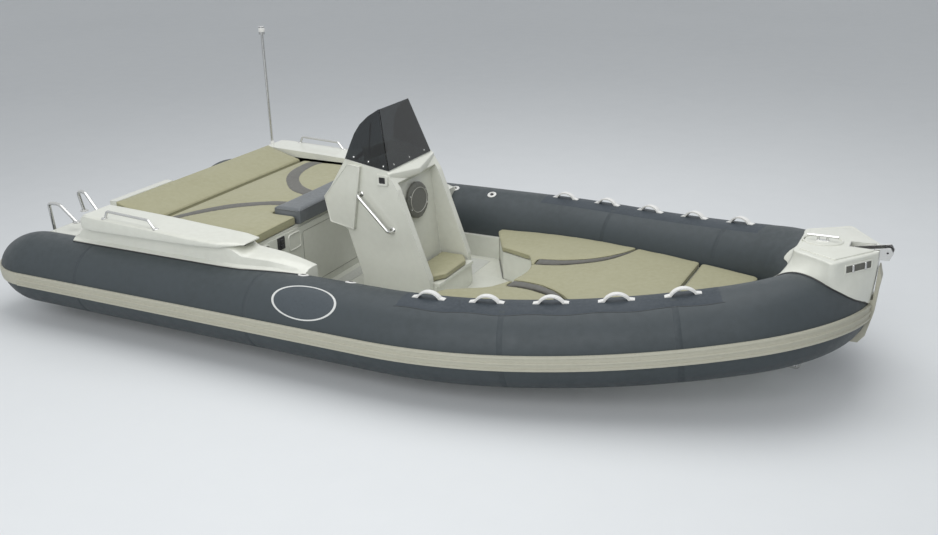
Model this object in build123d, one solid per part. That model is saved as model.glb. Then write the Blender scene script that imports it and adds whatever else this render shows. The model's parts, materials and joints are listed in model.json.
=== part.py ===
from build123d import *
import math
import os

# An open inflatable boat with a rigid vee hull. Millimetres, +X to the bow, +Y to port, +Z up.
# The origin lies on the waterline, amidships on the centreline.

# ---- clearances shared by every fit
SEAT = 0.3            # gap between a piece and the curved face that it sits on
REVEAL = 6.0          # gap round a lid, door or cushion that moves

# ---- inflatable collar
TUBE_RADIUS = 246.5
TUBE_HALF_SPACING = 1057.7   # centreline of the boat to the axis of each straight tube
TUBE_AXIS_HEIGHT = 340.0
TUBE_AFT_X = -2560.0         # where the straight tube meets its domed end
DOME_LENGTH = 330.0          # domed end, from the straight tube to its tip
DOME_TIP_RADIUS = 120.0
SHEER_START_X = 210.0        # where the tube starts to rise and close towards the bow
# joints between the tangent arcs of the tube's axis: x, half breadth, height
COLLAR_JOINTS = [
    (1045.0, 944.0, 358.0),
    (2170.0, 542.0, 477.0),
    (2530.0, 0.0, 485.0),
]

# ---- rubbing strake along the widest line of the tube
STRAKE_HEIGHT = 88.0
STRAKE_BASE = 10.0           # thickness of its flat band
STRAKE_RIB = 17.0            # thickness at its ribs
STRAKE_ANGLE = -1.4          # degrees from the tube's widest line
STEM_GUARD_WIDTH = 84.0

# ---- lifeline handles on top of the tube
HANDLE_X = (532.0, 876.0, 1230.0, 1577.0, 1917.0)
HANDLE_LENGTH = 200.0
HANDLE_RISE = 45.0
HANDLE_WIDTH = 34.0
HANDLE_THICK = 9.0

# ---- hull and decks
KEEL_DEPTH = 240.0
FLOOR_Z = 140.0              # cockpit sole
FLOOR_THICK = 30.0
TRANSOM_X = -2640.0
COAMING_TOP_DROP = 35.0      # top of the cockpit coaming below the tube's axis
COAMING_THICK = 26.0
CUSHION_THICK = 45.0
BOW_DECK_AFT_X = 100.0
BOW_DECK_FORE_X = 2290.0
BOW_CUSHION_TOP = 375.0      # top of the bow cushions at their aft end
BOW_DECK_SLOPE = 0.052       # rise of the bow deck per unit of length
BOW_SEAM_X = 1700.0          # seam between the large bow cushions and the lid's cushion
# edge of the foot recess in the bow deck: x, half breadth
RECESS_AFT = (100.0, 793.0)
RECESS_CORNER = (296.0, 438.0)
RECESS_SIDE = (560.0, 320.0)
RECESS_FRONT_X = 672.0

# ---- console
CONSOLE_HALF_WIDTH = 300.0
CONSOLE_WALL = 14.0
RECESS_HALF_WIDTH = 250.0
SEAT_BOX_TOP = 300.0         # rim of the forward seat's locker
CONSOLE_SEAT_FRONT_X = 134.0
CHEEK_THICK = 26.0
SCREEN_THICK = 6.0
SHAFT_RADIUS = 10.0          # steering shaft

# ---- aft lounge
LOUNGE_TOP = 725.0           # top of the sun pad
LOUNGE_FRONT_X = -845.0
LOUNGE_SEAM_X = -1680.0
LOUNGE_AFT_X = -2030.0
LOUNGE_HALF_WIDTH = 862.0
PAD_THICK = 70.0
LID_THICK = 22.0
LOCKER_WALL = 60.0
WING_EDGE_Y = 1128.0         # outer edge of the side mouldings
WING_FOOT_Y = 1075.0
WING_TOP_FORE = 740.0
WING_TOP_AFT = 796.0

PLATFORM_TOP = 540.0
WELL_HALF_WIDTH = 270.0
ENGINE_PAD_HALF = 190.0      # raised pad on the transom, where an outboard's bracket clamps

PARTS = {}


def block(x0, x1, y0, y1, z0, z1):
    size = (x1 - x0, y1 - y0, z1 - z0)
    return Pos((x0 + x1) / 2, (y0 + y1) / 2, (z0 + z1) / 2) * Box(*size)


def plan(points, z0, z1):
    """A prism over an outline of (x, y) points."""
    face = make_face(Polyline(*[(x, y, z0) for x, y in points], close=True))
    return extrude(face, amount=z1 - z0, dir=(0, 0, 1))


def profile(points, y0, y1):
    """A prism along Y over an outline of (x, z) points."""
    face = make_face(Polyline(*[(x, y0, z) for x, z in points], close=True))
    return extrude(face, amount=y1 - y0, dir=(0, 1, 0))


def section(points, x0, x1):
    """A prism along X over an outline of (y, z) points."""
    face = make_face(Polyline(*[(x0, y, z) for y, z in points], close=True))
    return extrude(face, amount=x1 - x0, dir=(1, 0, 0))


def rod(start, end, radius):
    """A straight round bar."""
    start, end = Vector(*start), Vector(*end)
    return Plane(origin=start, z_dir=end - start) * Pos(0, 0, (end - start).length / 2) * Cylinder(
        radius, (end - start).length)


def bent_bar(points, radius, bend):
    """A round bar along straight runs joined by arcs of one radius."""
    path = FilletPolyline(*points, radius=bend)
    start = Plane(origin=path @ 0, z_dir=path % 0)
    return sweep(start * Circle(radius), path=path)


def mirrored(shape):
    return mirror(shape, about=Plane.XZ)


def both_sides(shape):
    return [shape, mirrored(shape)]


def solids_of(shape):
    if isinstance(shape, (list, tuple)):
        return [solid for item in shape for solid in solids_of(item)]
    return list(shape.solids())


def keep(name, shape):
    """Stores a node; several solids become one compound."""
    found = solids_of(shape)
    PARTS[name] = found[0] if len(found) == 1 else Compound(children=found)


# ---- the collar's axis, port side

def collar_frames():
    """Each stretch of the axis: start, direction, outboard and upward directions, then its arc."""
    start = Vector(SHEER_START_X, TUBE_HALF_SPACING, TUBE_AXIS_HEIGHT)
    ahead, outboard = Vector(1, 0, 0), Vector(0, 1, 0)
    frames = []
    for joint in COLLAR_JOINTS:
        chord = Vector(*joint) - start
        half = math.radians(ahead.get_angle(chord))
        inward = (chord.normalized() - ahead * math.cos(half)).normalized()
        radius = chord.length / (2 * math.sin(half))
        axis = Axis(start + inward * radius, ahead.cross(inward))
        turn = math.degrees(2 * half)
        frames.append((start, ahead, outboard, axis, turn))
        start = Vector(*joint)
        ahead = ahead.rotate(Axis((0, 0, 0), axis.direction), turn)
        outboard = outboard.rotate(Axis((0, 0, 0), axis.direction), turn)
    return frames


FRAMES = collar_frames()


def carried(sketch, from_x=TUBE_AFT_X, first=0, last=None):
    """Carries a section (outboard, up) along the port tube from from_x to the centreline."""
    pieces = []
    if first == 0:
        base = Plane(origin=(from_x, TUBE_HALF_SPACING, TUBE_AXIS_HEIGHT), x_dir=(0, 1, 0), z_dir=(1, 0, 0))
        pieces.append(extrude(base * sketch, SHEER_START_X - from_x))
    for start, ahead, outboard, axis, turn in FRAMES[first:last]:
        face = Plane(origin=start, x_dir=outboard, z_dir=ahead) * sketch
        pieces.append(revolve(face, axis=axis, revolution_arc=turn))
    whole = pieces[0]
    for piece in pieces[1:]:
        whole = whole + piece
    return whole


def domed_end(radius):
    """The closed aft end of a tube: a large arc that runs into a small round tip."""
    grow = radius - TUBE_RADIUS
    length, tip = DOME_LENGTH + grow, DOME_TIP_RADIUS + grow
    outer = make_face(
        ThreePointArc((0, radius, 0), (-0.62 * length, 0.77 * radius, 0), (-length + 0.06 * tip, 0.36 * radius, 0))
        + Line((-length + 0.06 * tip, 0.36 * radius, 0), (-length, 0.2 * radius, 0))
        + Line((-length, 0.2 * radius, 0), (-length, 0, 0))
        + Line((-length, 0, 0), (0, 0, 0))
        + Line((0, 0, 0), (0, radius, 0))
    )
    turned = revolve(outer, axis=Axis.X)
    return Pos(TUBE_AFT_X, TUBE_HALF_SPACING, TUBE_AXIS_HEIGHT) * turned


def tube_shape(grow=0.0):
    radius = TUBE_RADIUS + grow
    return carried(Circle(radius)) + domed_end(radius)


TUBE_ENVELOPE = tube_shape(SEAT)
FAR = 4000.0


def largest(shape):
    return max(shape.solids(), key=lambda solid: solid.volume)


def port_half(shape, gap=0.0):
    return shape & block(-FAR, FAR, gap, FAR, -FAR, FAR)


def clear_of_tubes(shape):
    """Cuts both tubes, with their seat's gap, from a shape that is alike on both sides."""
    port = port_half(shape) - TUBE_ENVELOPE
    return port + mirrored(port)


def tube_point(x):
    """Half breadth and height of the tube's axis at a station."""
    if x <= SHEER_START_X:
        return TUBE_HALF_SPACING, TUBE_AXIS_HEIGHT
    last = (SHEER_START_X, TUBE_HALF_SPACING, TUBE_AXIS_HEIGHT)
    for (start, ahead, outboard, axis, turn), joint in zip(FRAMES, COLLAR_JOINTS):
        if x <= joint[0]:
            low, high = 0.0, turn
            for _ in range(30):
                middle = (low + high) / 2
                spot = axis.position + (Vector(*last) - axis.position).rotate(axis, middle)
                low, high = (middle, high) if spot.X < x else (low, middle)
            return spot.Y, spot.Z
        last = joint
    return 0.0, COLLAR_JOINTS[-1][2]


def make_tubes():
    port = port_half(tube_shape(), SEAT / 2)
    keep("tube_port", port)
    keep("tube_starboard", mirrored(port))


def strake_section():
    """A curved band with three raised ribs, laid on the tube's outboard side."""
    half = STRAKE_HEIGHT / 2
    inner = TUBE_RADIUS + SEAT
    base, rib = TUBE_RADIUS + STRAKE_BASE, TUBE_RADIUS + STRAKE_RIB
    heights = [-1.0, -0.72, -0.62, -0.2, -0.1, 0.1, 0.2, 0.62, 0.72, 1.0]
    raised = [1, 1, 0, 0, 1, 1, 0, 0, 1, 1]
    points = []
    for share, up in zip(heights, raised):
        v = share * half
        reach = rib if up else base
        points.append((math.sqrt(reach ** 2 - v ** 2), v))
    lower = (math.sqrt(inner ** 2 - half ** 2), -half)
    upper = (lower[0], half)
    edge = Polyline(lower, *points, upper) + ThreePointArc(upper, (inner, 0), lower)
    return Rot(0, 0, STRAKE_ANGLE) * make_face(edge)


def make_strakes():
    run = carried(strake_section(), from_x=TUBE_AFT_X)
    slab = block(TUBE_AFT_X - 500, TUBE_AFT_X, TUBE_HALF_SPACING - 60, 2000,
                 TUBE_AXIS_HEIGHT - 6 - STRAKE_HEIGHT / 2, TUBE_AXIS_HEIGHT - 6 + STRAKE_HEIGHT / 2)
    end = (domed_end(TUBE_RADIUS + STRAKE_BASE) & slab) - domed_end(TUBE_RADIUS + SEAT)
    port = port_half(run + end, STEM_GUARD_WIDTH / 2 + SEAT)
    keep("strake_port", port)
    keep("strake_starboard", mirrored(port))


def make_stem_guard():
    """The strakes meet in an upright guard on the stem, pointed at its top."""
    front = [(2734, 292), (2770, 340), (2800, 470), (2812, 610), (2822, 690), (2806, 756)]
    back = [(2680, 756), (2680, 292)]
    guard = profile(front + back, -STEM_GUARD_WIDTH / 2, STEM_GUARD_WIDTH / 2)
    guard = clear_of_tubes(guard) - PARTS["bow_nose"]
    keep("stem_guard", max(guard.solids(), key=lambda solid: solid.bounding_box().max.X))


def make_handles():
    """Low moulded arches that hold the lifeline points, five on each tube."""
    port = []
    for x in HANDLE_X:
        y, axis_z = tube_point(x)
        behind, ahead = tube_point(x - HANDLE_LENGTH / 4), tube_point(x + HANDLE_LENGTH / 4)
        run_x, run_y = HANDLE_LENGTH / 2, ahead[0] - behind[0]
        heading = math.degrees(math.atan2(run_y, run_x))
        pitch = math.degrees(math.atan2(ahead[1] - behind[1], math.hypot(run_x, run_y)))
        half, rise, thick = HANDLE_LENGTH / 2, HANDLE_RISE, HANDLE_THICK
        foot = half - 28
        outer = Polyline((-half, 0), (-half, 4), (-foot, thick)) + ThreePointArc(
            (-foot, thick), (0, rise), (foot, thick)) + Polyline((foot, thick), (half, 4), (half, 0))
        inner = Polyline((half, 0), (foot - 8, 0)) + ThreePointArc(
            (foot - 8, 0), (0, rise - thick), (-foot + 8, 0)) + Polyline((-foot + 8, 0), (-half, 0))
        arch = extrude(Plane.XZ * make_face(outer + inner), HANDLE_WIDTH / 2, both=True)
        under = Rot(0, 90, 0) * Cylinder(TUBE_RADIUS + 2.5 * SEAT, 2 * HANDLE_LENGTH)
        arch = largest(Pos(0, 0, TUBE_RADIUS) * arch - under)
        port.append(Pos(x, y, axis_z) * Rot(0, 0, heading) * Rot(0, -pitch, 0) * arch)
    keep("handles_port", port)
    keep("handles_starboard", [mirrored(arch) for arch in port])


# ---- hull, liner and decks

TOW_EYE = (2405.0, 72.0)     # centre of the eye under the stem
HULL_SIDE_IN = 90.0          # the hull's sides run up into the seat of the tube, this far inside its axis
HULL_SIDE_DROP = 150.0
# stations: x, keel height, chine half breadth, chine height, height of the hull's flat top
HULL_STATIONS = [
    (TRANSOM_X, -KEEL_DEPTH + 10, 860, 40, FLOOR_Z - FLOOR_THICK),
    (210, -KEEL_DEPTH, 865, 50, FLOOR_Z - FLOOR_THICK),
    (700, -KEEL_DEPTH, 830, 62, FLOOR_Z - FLOOR_THICK),
    (1150, -KEEL_DEPTH + 15, 740, 80, 170),
    (1850, -150, 500, 140, 250),
    (2260, 20, 270, 190, 285),
    (2560, 205, 40, 240, 310),
]


def make_hull():
    sections = []
    for x, keel, chine_y, chine_z, top in HULL_STATIONS:
        axis_y, axis_z = tube_point(x)
        side_y = max(axis_y - HULL_SIDE_IN, 60)
        inner_y = max(axis_y - TUBE_RADIUS - 60, 30)
        half = [(0, keel), (chine_y, chine_z), (chine_y + 40 * chine_y / 860, chine_z - 4),
                (side_y, axis_z - HULL_SIDE_DROP), (inner_y, top)]
        outline = half + [(-y, z) for y, z in reversed(half[1:])]
        sections.append(make_face(Polyline(*[(x, y, z) for y, z in outline], close=True)))
    body = loft(sections, ruled=True)
    keep("hull", largest(clear_of_tubes(body)))


def make_liner():
    """The cockpit moulding: a flat sole and the coamings that the tubes lie against."""
    inner, outer = -(TUBE_RADIUS + COAMING_THICK), -40.0
    low, high = -420.0, -COAMING_TOP_DROP
    shape = make_face(Polyline((inner, low), (outer, low), (outer, high), (inner, high), close=True))
    coaming = carried(shape, from_x=LOUNGE_FRONT_X, first=0, last=1)
    floor_edge = [(LOUNGE_FRONT_X, TUBE_HALF_SPACING - 60), (SHEER_START_X, TUBE_HALF_SPACING - 60),
                  (BOW_DECK_AFT_X + 900, 850), (BOW_DECK_AFT_X + 900, -850),
                  (SHEER_START_X, 60 - TUBE_HALF_SPACING), (LOUNGE_FRONT_X, 60 - TUBE_HALF_SPACING)]
    floor = plan(floor_edge, FLOOR_Z - FLOOR_THICK, FLOOR_Z)
    region = block(LOUNGE_FRONT_X, BOW_DECK_AFT_X, -1200, 1200, FLOOR_Z - FLOOR_THICK, 600)
    front = plan(recess_outline(-REVEAL), FLOOR_Z - FLOOR_THICK, FLOOR_Z)
    shape = ((floor + coaming + mirrored(coaming)) & region) + (floor & front)
    keep("cockpit_liner", largest(clear_of_tubes(shape - PARTS["hull"])))


def recess_outline(inset=0.0):
    """Plan outline of the foot recess between the bow deck's two arms, grown by -inset."""
    (ax, ay), (cx, cy), (sx, sy) = RECESS_AFT, RECESS_CORNER, RECESS_SIDE
    front = []
    radius = (sy ** 2 + (RECESS_FRONT_X - sx) ** 2) / (2 * (RECESS_FRONT_X - sx))
    for step in range(-4, 5):
        angle = math.asin(sy / radius) * step / 4
        front.append((RECESS_FRONT_X - radius + radius * math.cos(angle), radius * math.sin(angle)))
    points = [(ax, -ay), (cx, -cy)] + front + [(cx, cy), (ax, ay)]
    if inset:
        return [(x + inset, y - math.copysign(-inset, y) if y else y) for x, y in points]
    return points


def deck_height(x, above=0.0):
    return BOW_CUSHION_TOP - CUSHION_THICK + above + BOW_DECK_SLOPE * (x - BOW_DECK_AFT_X)


def below_deck(above=0.0):
    """Everything under the sloping bow deck, raised by above."""
    ends = (BOW_DECK_AFT_X - 200, BOW_DECK_FORE_X + 400)
    points = [(ends[0], -300), (ends[1], -300), (ends[1], deck_height(ends[1], above)),
              (ends[0], deck_height(ends[0], above))]
    return profile(points, -1200, 1200)


def inside_tubes(inset):
    """Plan prism between the tubes' axes, from the cockpit to the bow."""
    stations = [BOW_DECK_AFT_X + step * (BOW_DECK_FORE_X - BOW_DECK_AFT_X) / 12 for step in range(13)]
    edge = [(x, tube_point(x)[0] - inset) for x in stations]
    return plan(edge + [(x, -y) for x, y in reversed(edge)], FLOOR_Z - FLOOR_THICK, 700)


LOCKER = dict(x0=1730.0, x1=2080.0, half=210.0, floor=300.0)


def locker_outline(grow=0.0):
    x0, x1, half = LOCKER["x0"] - grow, LOCKER["x1"] + grow, LOCKER["half"] + grow
    return [(x0, -half), (x1, -half), (x1, half), (x0, half)]


def make_bow_deck():
    """The raised foredeck, with the foot recess cut from it and an anchor locker under its fore end."""
    deck = inside_tubes(40) & below_deck()
    deck = deck - plan(recess_outline(), -300, 900)
    deck = deck - plan(locker_outline(), LOCKER["floor"], 900)
    deck = deck - (plan(locker_outline(32), 0, 900) - below_deck(-LID_THICK - SEAT))
    deck = clear_of_tubes(deck - PARTS["hull"])
    keep("bow_deck", largest(deck))
    lid = (plan(locker_outline(26), 0, 900) & below_deck()) - below_deck(-LID_THICK)
    keep("bow_locker_lid", lid)


def clear_of_swing(cushion):
    """Trims the sides of the port half so that it passes the tube as it turns up about the seam."""
    seam = Axis((BOW_SEAM_X, 0, deck_height(BOW_SEAM_X, CUSHION_THICK)), (0, 1, 0))
    tube = carried(Circle(TUBE_RADIUS + REVEAL), first=1)
    for angle in range(15, 90, 15):
        cushion = cushion - tube.rotate(seam, angle)
    return largest(cushion)


def cushion_slab():
    return below_deck(CUSHION_THICK) - below_deck(SEAT)


BAND_PORT_OUTER = [(640, 262), (985, 352), (1225, 668)]
BAND_PORT_INNER = [(655, 160), (1000, 288), (1225, 668)]


def band_outline():
    outer = ThreePointArc(*[(x, y, 0) for x, y in BAND_PORT_OUTER])
    inner = ThreePointArc(*[(x, y, 0) for x, y in BAND_PORT_INNER])
    return make_face(outer + inner + Line(outer @ 0, inner @ 0))


def make_bow_cushions():
    slab = cushion_slab() & inside_tubes(TUBE_RADIUS * 0.5)
    slab = clear_of_tubes(slab)
    slab = slab - plan(recess_outline(-14), -300, 900)
    aft = slab & block(0, BOW_SEAM_X - 2, -1200, 1200, 0, 900)
    fore = (slab & block(BOW_SEAM_X + 2, LOCKER["x1"] + 26, -1200, 1200, 0, 900))
    fore = clear_of_swing(port_half(fore) - tube_shape(REVEAL))
    fore = fore + mirrored(fore)
    band = extrude(band_outline(), amount=900, dir=(0, 0, 1))
    centre_points = [(x, y) for x, y in BAND_PORT_INNER]
    arc = ThreePointArc(*[(x, y, 0) for x, y in BAND_PORT_INNER])
    centre_edge = (Line((600, 0, 0), (600, 160, 0)) + Line((600, 160, 0), arc @ 0) + arc
                   + Line(arc @ 1, (1700, 700, 0)) + Line((1700, 700, 0), (1700, 0, 0))
                   + Line((1700, 0, 0), (600, 0, 0)))
    half_centre = extrude(make_face(centre_edge), amount=900, dir=(0, 0, 1))
    centre = aft & (half_centre + mirrored(half_centre))
    bands = aft & (band + mirrored(band))
    sides = (aft - (half_centre + mirrored(half_centre))) - (band + mirrored(band))
    ordered = sorted(sides.solids(), key=lambda solid: solid.volume)[-2:]
    ordered.sort(key=lambda solid: solid.center().Y)
    keep("bow_cushion_starboard", ordered[0])
    keep("bow_cushion_port", ordered[1])
    keep("bow_cushion_centre", centre)
    keep("bow_bands", bands)
    keep("bow_cushion_fore", fore)


# ---- bow fittings

def make_bow_nose():
    """The white moulding over the bow, a six-sided table with sides that run down onto the tubes."""
    top = [(2367, -196), (2607, -322), (2806, -57), (2806, 57), (2607, 322), (2367, 196)]
    foot = [(2315, -330), (2560, -480), (2790, -100), (2790, 100), (2560, 480), (2315, 330)]
    lower = Pos(0, 0, 560) * make_face(Polyline(*[(x, y, 0) for x, y in foot], close=True))
    upper = Pos(0, 0, 855) * make_face(Polyline(*[(x, y, 0) for x, y in top], close=True))
    nose = loft([lower, upper], ruled=True)
    nose = clear_of_tubes(nose)
    nose = nose - block(2300, 2420, -600, 600, 500, 640)
    channel = block(2640, 2900, -42, 42, 790, 900)
    nose = nose - channel
    main = max(nose.solids(), key=lambda solid: solid.volume)
    keep("bow_nose", main)


def make_anchor_roller():
    cheeks = []
    side = [(2650, 790.3), (2850, 800), (2868, 842), (2850, 872), (2650, 835)]
    for y0 in (-38.0, 32.0):
        cheeks.append(profile(side, y0, y0 + 6))
    cheeks.append(block(2650, 2780, -32, 32, 790.3, 797))
    bracket = cheeks[0] + cheeks[1] + cheeks[2]
    hole = Pos(2838, 0, 842) * Rot(90, 0, 0) * Cylinder(6, 200)
    keep("anchor_bracket", bracket - hole)
    roller = Pos(2838, 0, 842) * Rot(90, 0, 0) * (Cylinder(26, 58) - Cylinder(40, 20) + Cylinder(16, 58))
    pin = Pos(2838, 0, 842) * Rot(90, 0, 0) * Cylinder(5.95, 76)
    keep("anchor_roller", roller + pin)


def make_tow_eye():
    """A plate eye through the stem, above the waterline."""
    x, z = TOW_EYE
    plate = profile([(x - 100, z - 18), (x + 70, z + 90), (x + 28, z), (x, z - 28)], -6, 6)
    plate = plate + Pos(x, 0, z) * Rot(90, 0, 0) * Cylinder(28, 12)
    plate = plate - Pos(x, 0, z) * Rot(90, 0, 0) * Cylinder(14, 40)
    keep("tow_eye", largest(plate - PARTS["hull"]))


def make_cleat():
    base = Pos(2490, 0, 859.3) * Box(70, 26, 8)
    posts = [Pos(2490 + side * 24, 0, 872) * Cylinder(7, 22) for side in (-1, 1)]
    bar = Pos(2490, 0, 886) * Rot(0, 90, 0) * Cylinder(8, 170)
    keep("bow_cleat", base + posts[0] + posts[1] + bar)


# ---- console

CONSOLE_SIDE = [(-400, FLOOR_Z), (-400, 330), (-496, 640), (-620, 700), (-652, 861), (-480, 1126),
                (-171, 1067), (-96, 949), (112, 364), (118, FLOOR_Z)]


def make_console():
    """The console moulding: a hollow pedestal, open behind for the helmsman's knees."""
    body = profile(CONSOLE_SIDE, -CONSOLE_HALF_WIDTH, CONSOLE_HALF_WIDTH)
    seat_box = block(90, CONSOLE_SEAT_FRONT_X, -RECESS_HALF_WIDTH, RECESS_HALF_WIDTH, FLOOR_Z, SEAT_BOX_TOP)
    body = body + seat_box
    recess = [(-100, SEAT_BOX_TOP), (300, SEAT_BOX_TOP), (300, 985), (-120, 985), (-157, 950)]
    body = body - profile(recess, -RECESS_HALF_WIDTH, RECESS_HALF_WIDTH)
    hollow = [(-700, FLOOR_Z + 40), (-130, FLOOR_Z + 40), (-160, 760), (-700, 700)]
    body = body - profile(hollow, 40 - CONSOLE_HALF_WIDTH, CONSOLE_HALF_WIDTH - 40)
    dash_cut = [(-700, 1150), (-700, 800), (-583, 800), (-465, 1062), (-200, 1010), (-150, 1150)]
    body = body - profile(dash_cut, 40 - CONSOLE_HALF_WIDTH, CONSOLE_HALF_WIDTH - 40)
    seat_locker = block(-60, 110, -200, 200, FLOOR_Z + 30, 330)
    body = body - seat_locker
    keep("console", body)
    cheek = [(-451, 1099), (-646, 861), (-612, 691), (-432, 658), (-360, 1088)]
    cheeks = profile(cheek, CONSOLE_HALF_WIDTH, CONSOLE_HALF_WIDTH + CHEEK_THICK)
    keep("console_cheeks", both_sides(cheeks))


def make_console_seat():
    lid_top = SEAT_BOX_TOP + LID_THICK
    keep("console_seat_lid", block(-92, CONSOLE_SEAT_FRONT_X + 20, -244, 244, SEAT_BOX_TOP, lid_top))
    cushion = [(-88, -244), (90, -244), (160, -150), (160, 150), (90, 244), (-88, 244)]
    keep("console_seat_cushion", plan(cushion, lid_top, lid_top + CUSHION_THICK))
    spot = Pos(-143.4 + SEAT, 0, 800) * Rot(0, -5.19, 0) * Rot(0, 90, 0)
    keep("console_backrest", spot * extrude(Ellipse(130, 140), 30))


def make_windscreen():
    """A smoked screen: two side panes and a front pane, folded at the console's front corners."""
    aft, front, top = Vector(-478, 301, 1130), Vector(-171, 278, 1070), Vector(-274, 184, 1444)
    outline = [(-478, 301, 1130), (-453, 273, 1213), (-428, 248, 1289), (-395, 227, 1347),
               (-344, 206, 1398), (-274, 184, 1444), (-171, 278, 1070)]
    normal = (front - aft).cross(top - aft).normalized()
    def on_pane(x, z):
        y = aft.Y - (normal.X * (x - aft.X) + normal.Z * (z - aft.Z)) / normal.Y
        return Vector(x, y, z)
    rim = [on_pane(x, z - 2.5) for x, y, z in outline]
    if normal.Y < 0:
        normal = -normal
    side = extrude(make_face(Polyline(*rim, close=True)), amount=SCREEN_THICK, dir=normal)
    corners = [Vector(-171, -278, 1067.5), Vector(-171, 278, 1067.5), Vector(-274, 184, 1441.5),
               Vector(-274, -184, 1441.5)]
    face = make_face(Polyline(*corners, close=True))
    across = Vector(374, 0, 103).normalized()
    front_pane = extrude(face, amount=SCREEN_THICK, dir=across)
    keep("windscreen", side + front_pane + mirrored(side))


def make_console_fittings():
    rails = []
    y = CONSOLE_HALF_WIDTH
    path = [(-378, y + SEAT, 902), (-378, y + 48, 902), (-145, y + 48, 668), (-145, y + SEAT, 668)]
    rails.append(bent_bar(path, 11, 24))
    keep("console_rails", both_sides(rails[0]))
    wheel_hub = Plane(origin=(-524, 0, 931), z_dir=(-262, 0, 118))
    rim = wheel_hub * Pos(0, 0, 70) * Torus(140, 13)
    hub = wheel_hub * Pos(0, 0, 45) * (Cylinder(36, 30) - Cylinder(SHAFT_RADIUS + 0.05, 40))
    spokes = []
    for turn in (90, 210, 330):
        spoke = wheel_hub * Rot(0, 0, turn) * Pos(80, 0, 60) * Rot(0, -8, 0) * Box(118, 22, 8)
        spokes.append(spoke)
    keep("steering_wheel", rim + hub + spokes[0] + spokes[1] + spokes[2])
    boss = wheel_hub * (Pos(0, 0, 14.5) * Cylinder(45, 28.4) + Pos(0, 0, 40) * Cylinder(SHAFT_RADIUS, 38))
    keep("steering_boss", boss)
    keep("console_vent", block(-236, -170, -CONSOLE_HALF_WIDTH - 8, -CONSOLE_HALF_WIDTH, 982, 1034))


# ---- aft lounge, side mouldings and stern

def make_lounge():
    """The aft bench and sun-lounge base, with a locker under the large pad."""
    top = LOUNGE_TOP - PAD_THICK - LID_THICK
    base = block(LOUNGE_AFT_X, LOUNGE_FRONT_X, -LOUNGE_HALF_WIDTH, LOUNGE_HALF_WIDTH, FLOOR_Z - FLOOR_THICK, top)
    locker = block(LOUNGE_SEAM_X + 40, LOUNGE_FRONT_X - LOCKER_WALL, -560, 560, FLOOR_Z + 20, 900)
    base = clear_of_tubes(base - locker)
    back = profile([(LOUNGE_AFT_X, top), (LOUNGE_SEAM_X, top), (LOUNGE_SEAM_X, top + 20),
                    (LOUNGE_AFT_X, 770)], -LOUNGE_HALF_WIDTH, LOUNGE_HALF_WIDTH)
    keep("lounge_base", base + back - PARTS["hull"])
    front = LOUNGE_FRONT_X - 6
    lid = block(LOUNGE_SEAM_X + REVEAL, front, -LOUNGE_HALF_WIDTH + REVEAL, LOUNGE_HALF_WIDTH - REVEAL,
                top, top + LID_THICK)
    keep("lounge_lid", lid)
    pad = block(LOUNGE_SEAM_X + REVEAL, LOUNGE_FRONT_X + 8, -LOUNGE_HALF_WIDTH + REVEAL,
                LOUNGE_HALF_WIDTH - REVEAL, top + LID_THICK, LOUNGE_TOP)
    seat_notch = block(-1040, LOUNGE_FRONT_X + 60, -400, 400, top + LID_THICK, 900)
    keep("sun_pad_main", pad - seat_notch)
    helm = block(-1036, LOUNGE_FRONT_X + 30, -396, 396, top + LID_THICK, LOUNGE_TOP + 35)
    keep("helm_seat_cushion", helm)
    aft_pad = profile([(LOUNGE_AFT_X + 8, 770 + 2), (LOUNGE_SEAM_X - 4, top + 22), (LOUNGE_SEAM_X - 4, LOUNGE_TOP),
                       (LOUNGE_AFT_X + 8, 825)], -LOUNGE_HALF_WIDTH + 4, LOUNGE_HALF_WIDTH - 4)
    keep("sun_pad_aft", aft_pad)


def make_side_mouldings():
    """Raised mouldings on the after part of both tubes, with an overhanging edge."""
    lower = profile([(-2200, 560), (-2200, 600), (-2060, 770), (-1900, 770), (-880, 715), (-760, 690),
                     (-620, 610), (-560, 560)], LOUNGE_HALF_WIDTH + SEAT, WING_FOOT_Y)
    upper = profile([(-2070, 745), (-2070, WING_TOP_AFT), (-1960, WING_TOP_AFT - 4), (-880, WING_TOP_FORE),
                     (-880, 690)], LOUNGE_HALF_WIDTH + SEAT, WING_EDGE_Y)
    main = largest((lower + upper) - TUBE_ENVELOPE)
    keep("side_moulding_port", main)
    keep("side_moulding_starboard", mirrored(main))
    rail = bent_bar([(-1867, 1095, 780), (-1837, 1095, 840), (-1486, 1095, 822), (-1429, 1095, 755)], 9, 18)
    keep("side_rails", both_sides(rail - PARTS["side_moulding_port"]))


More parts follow.
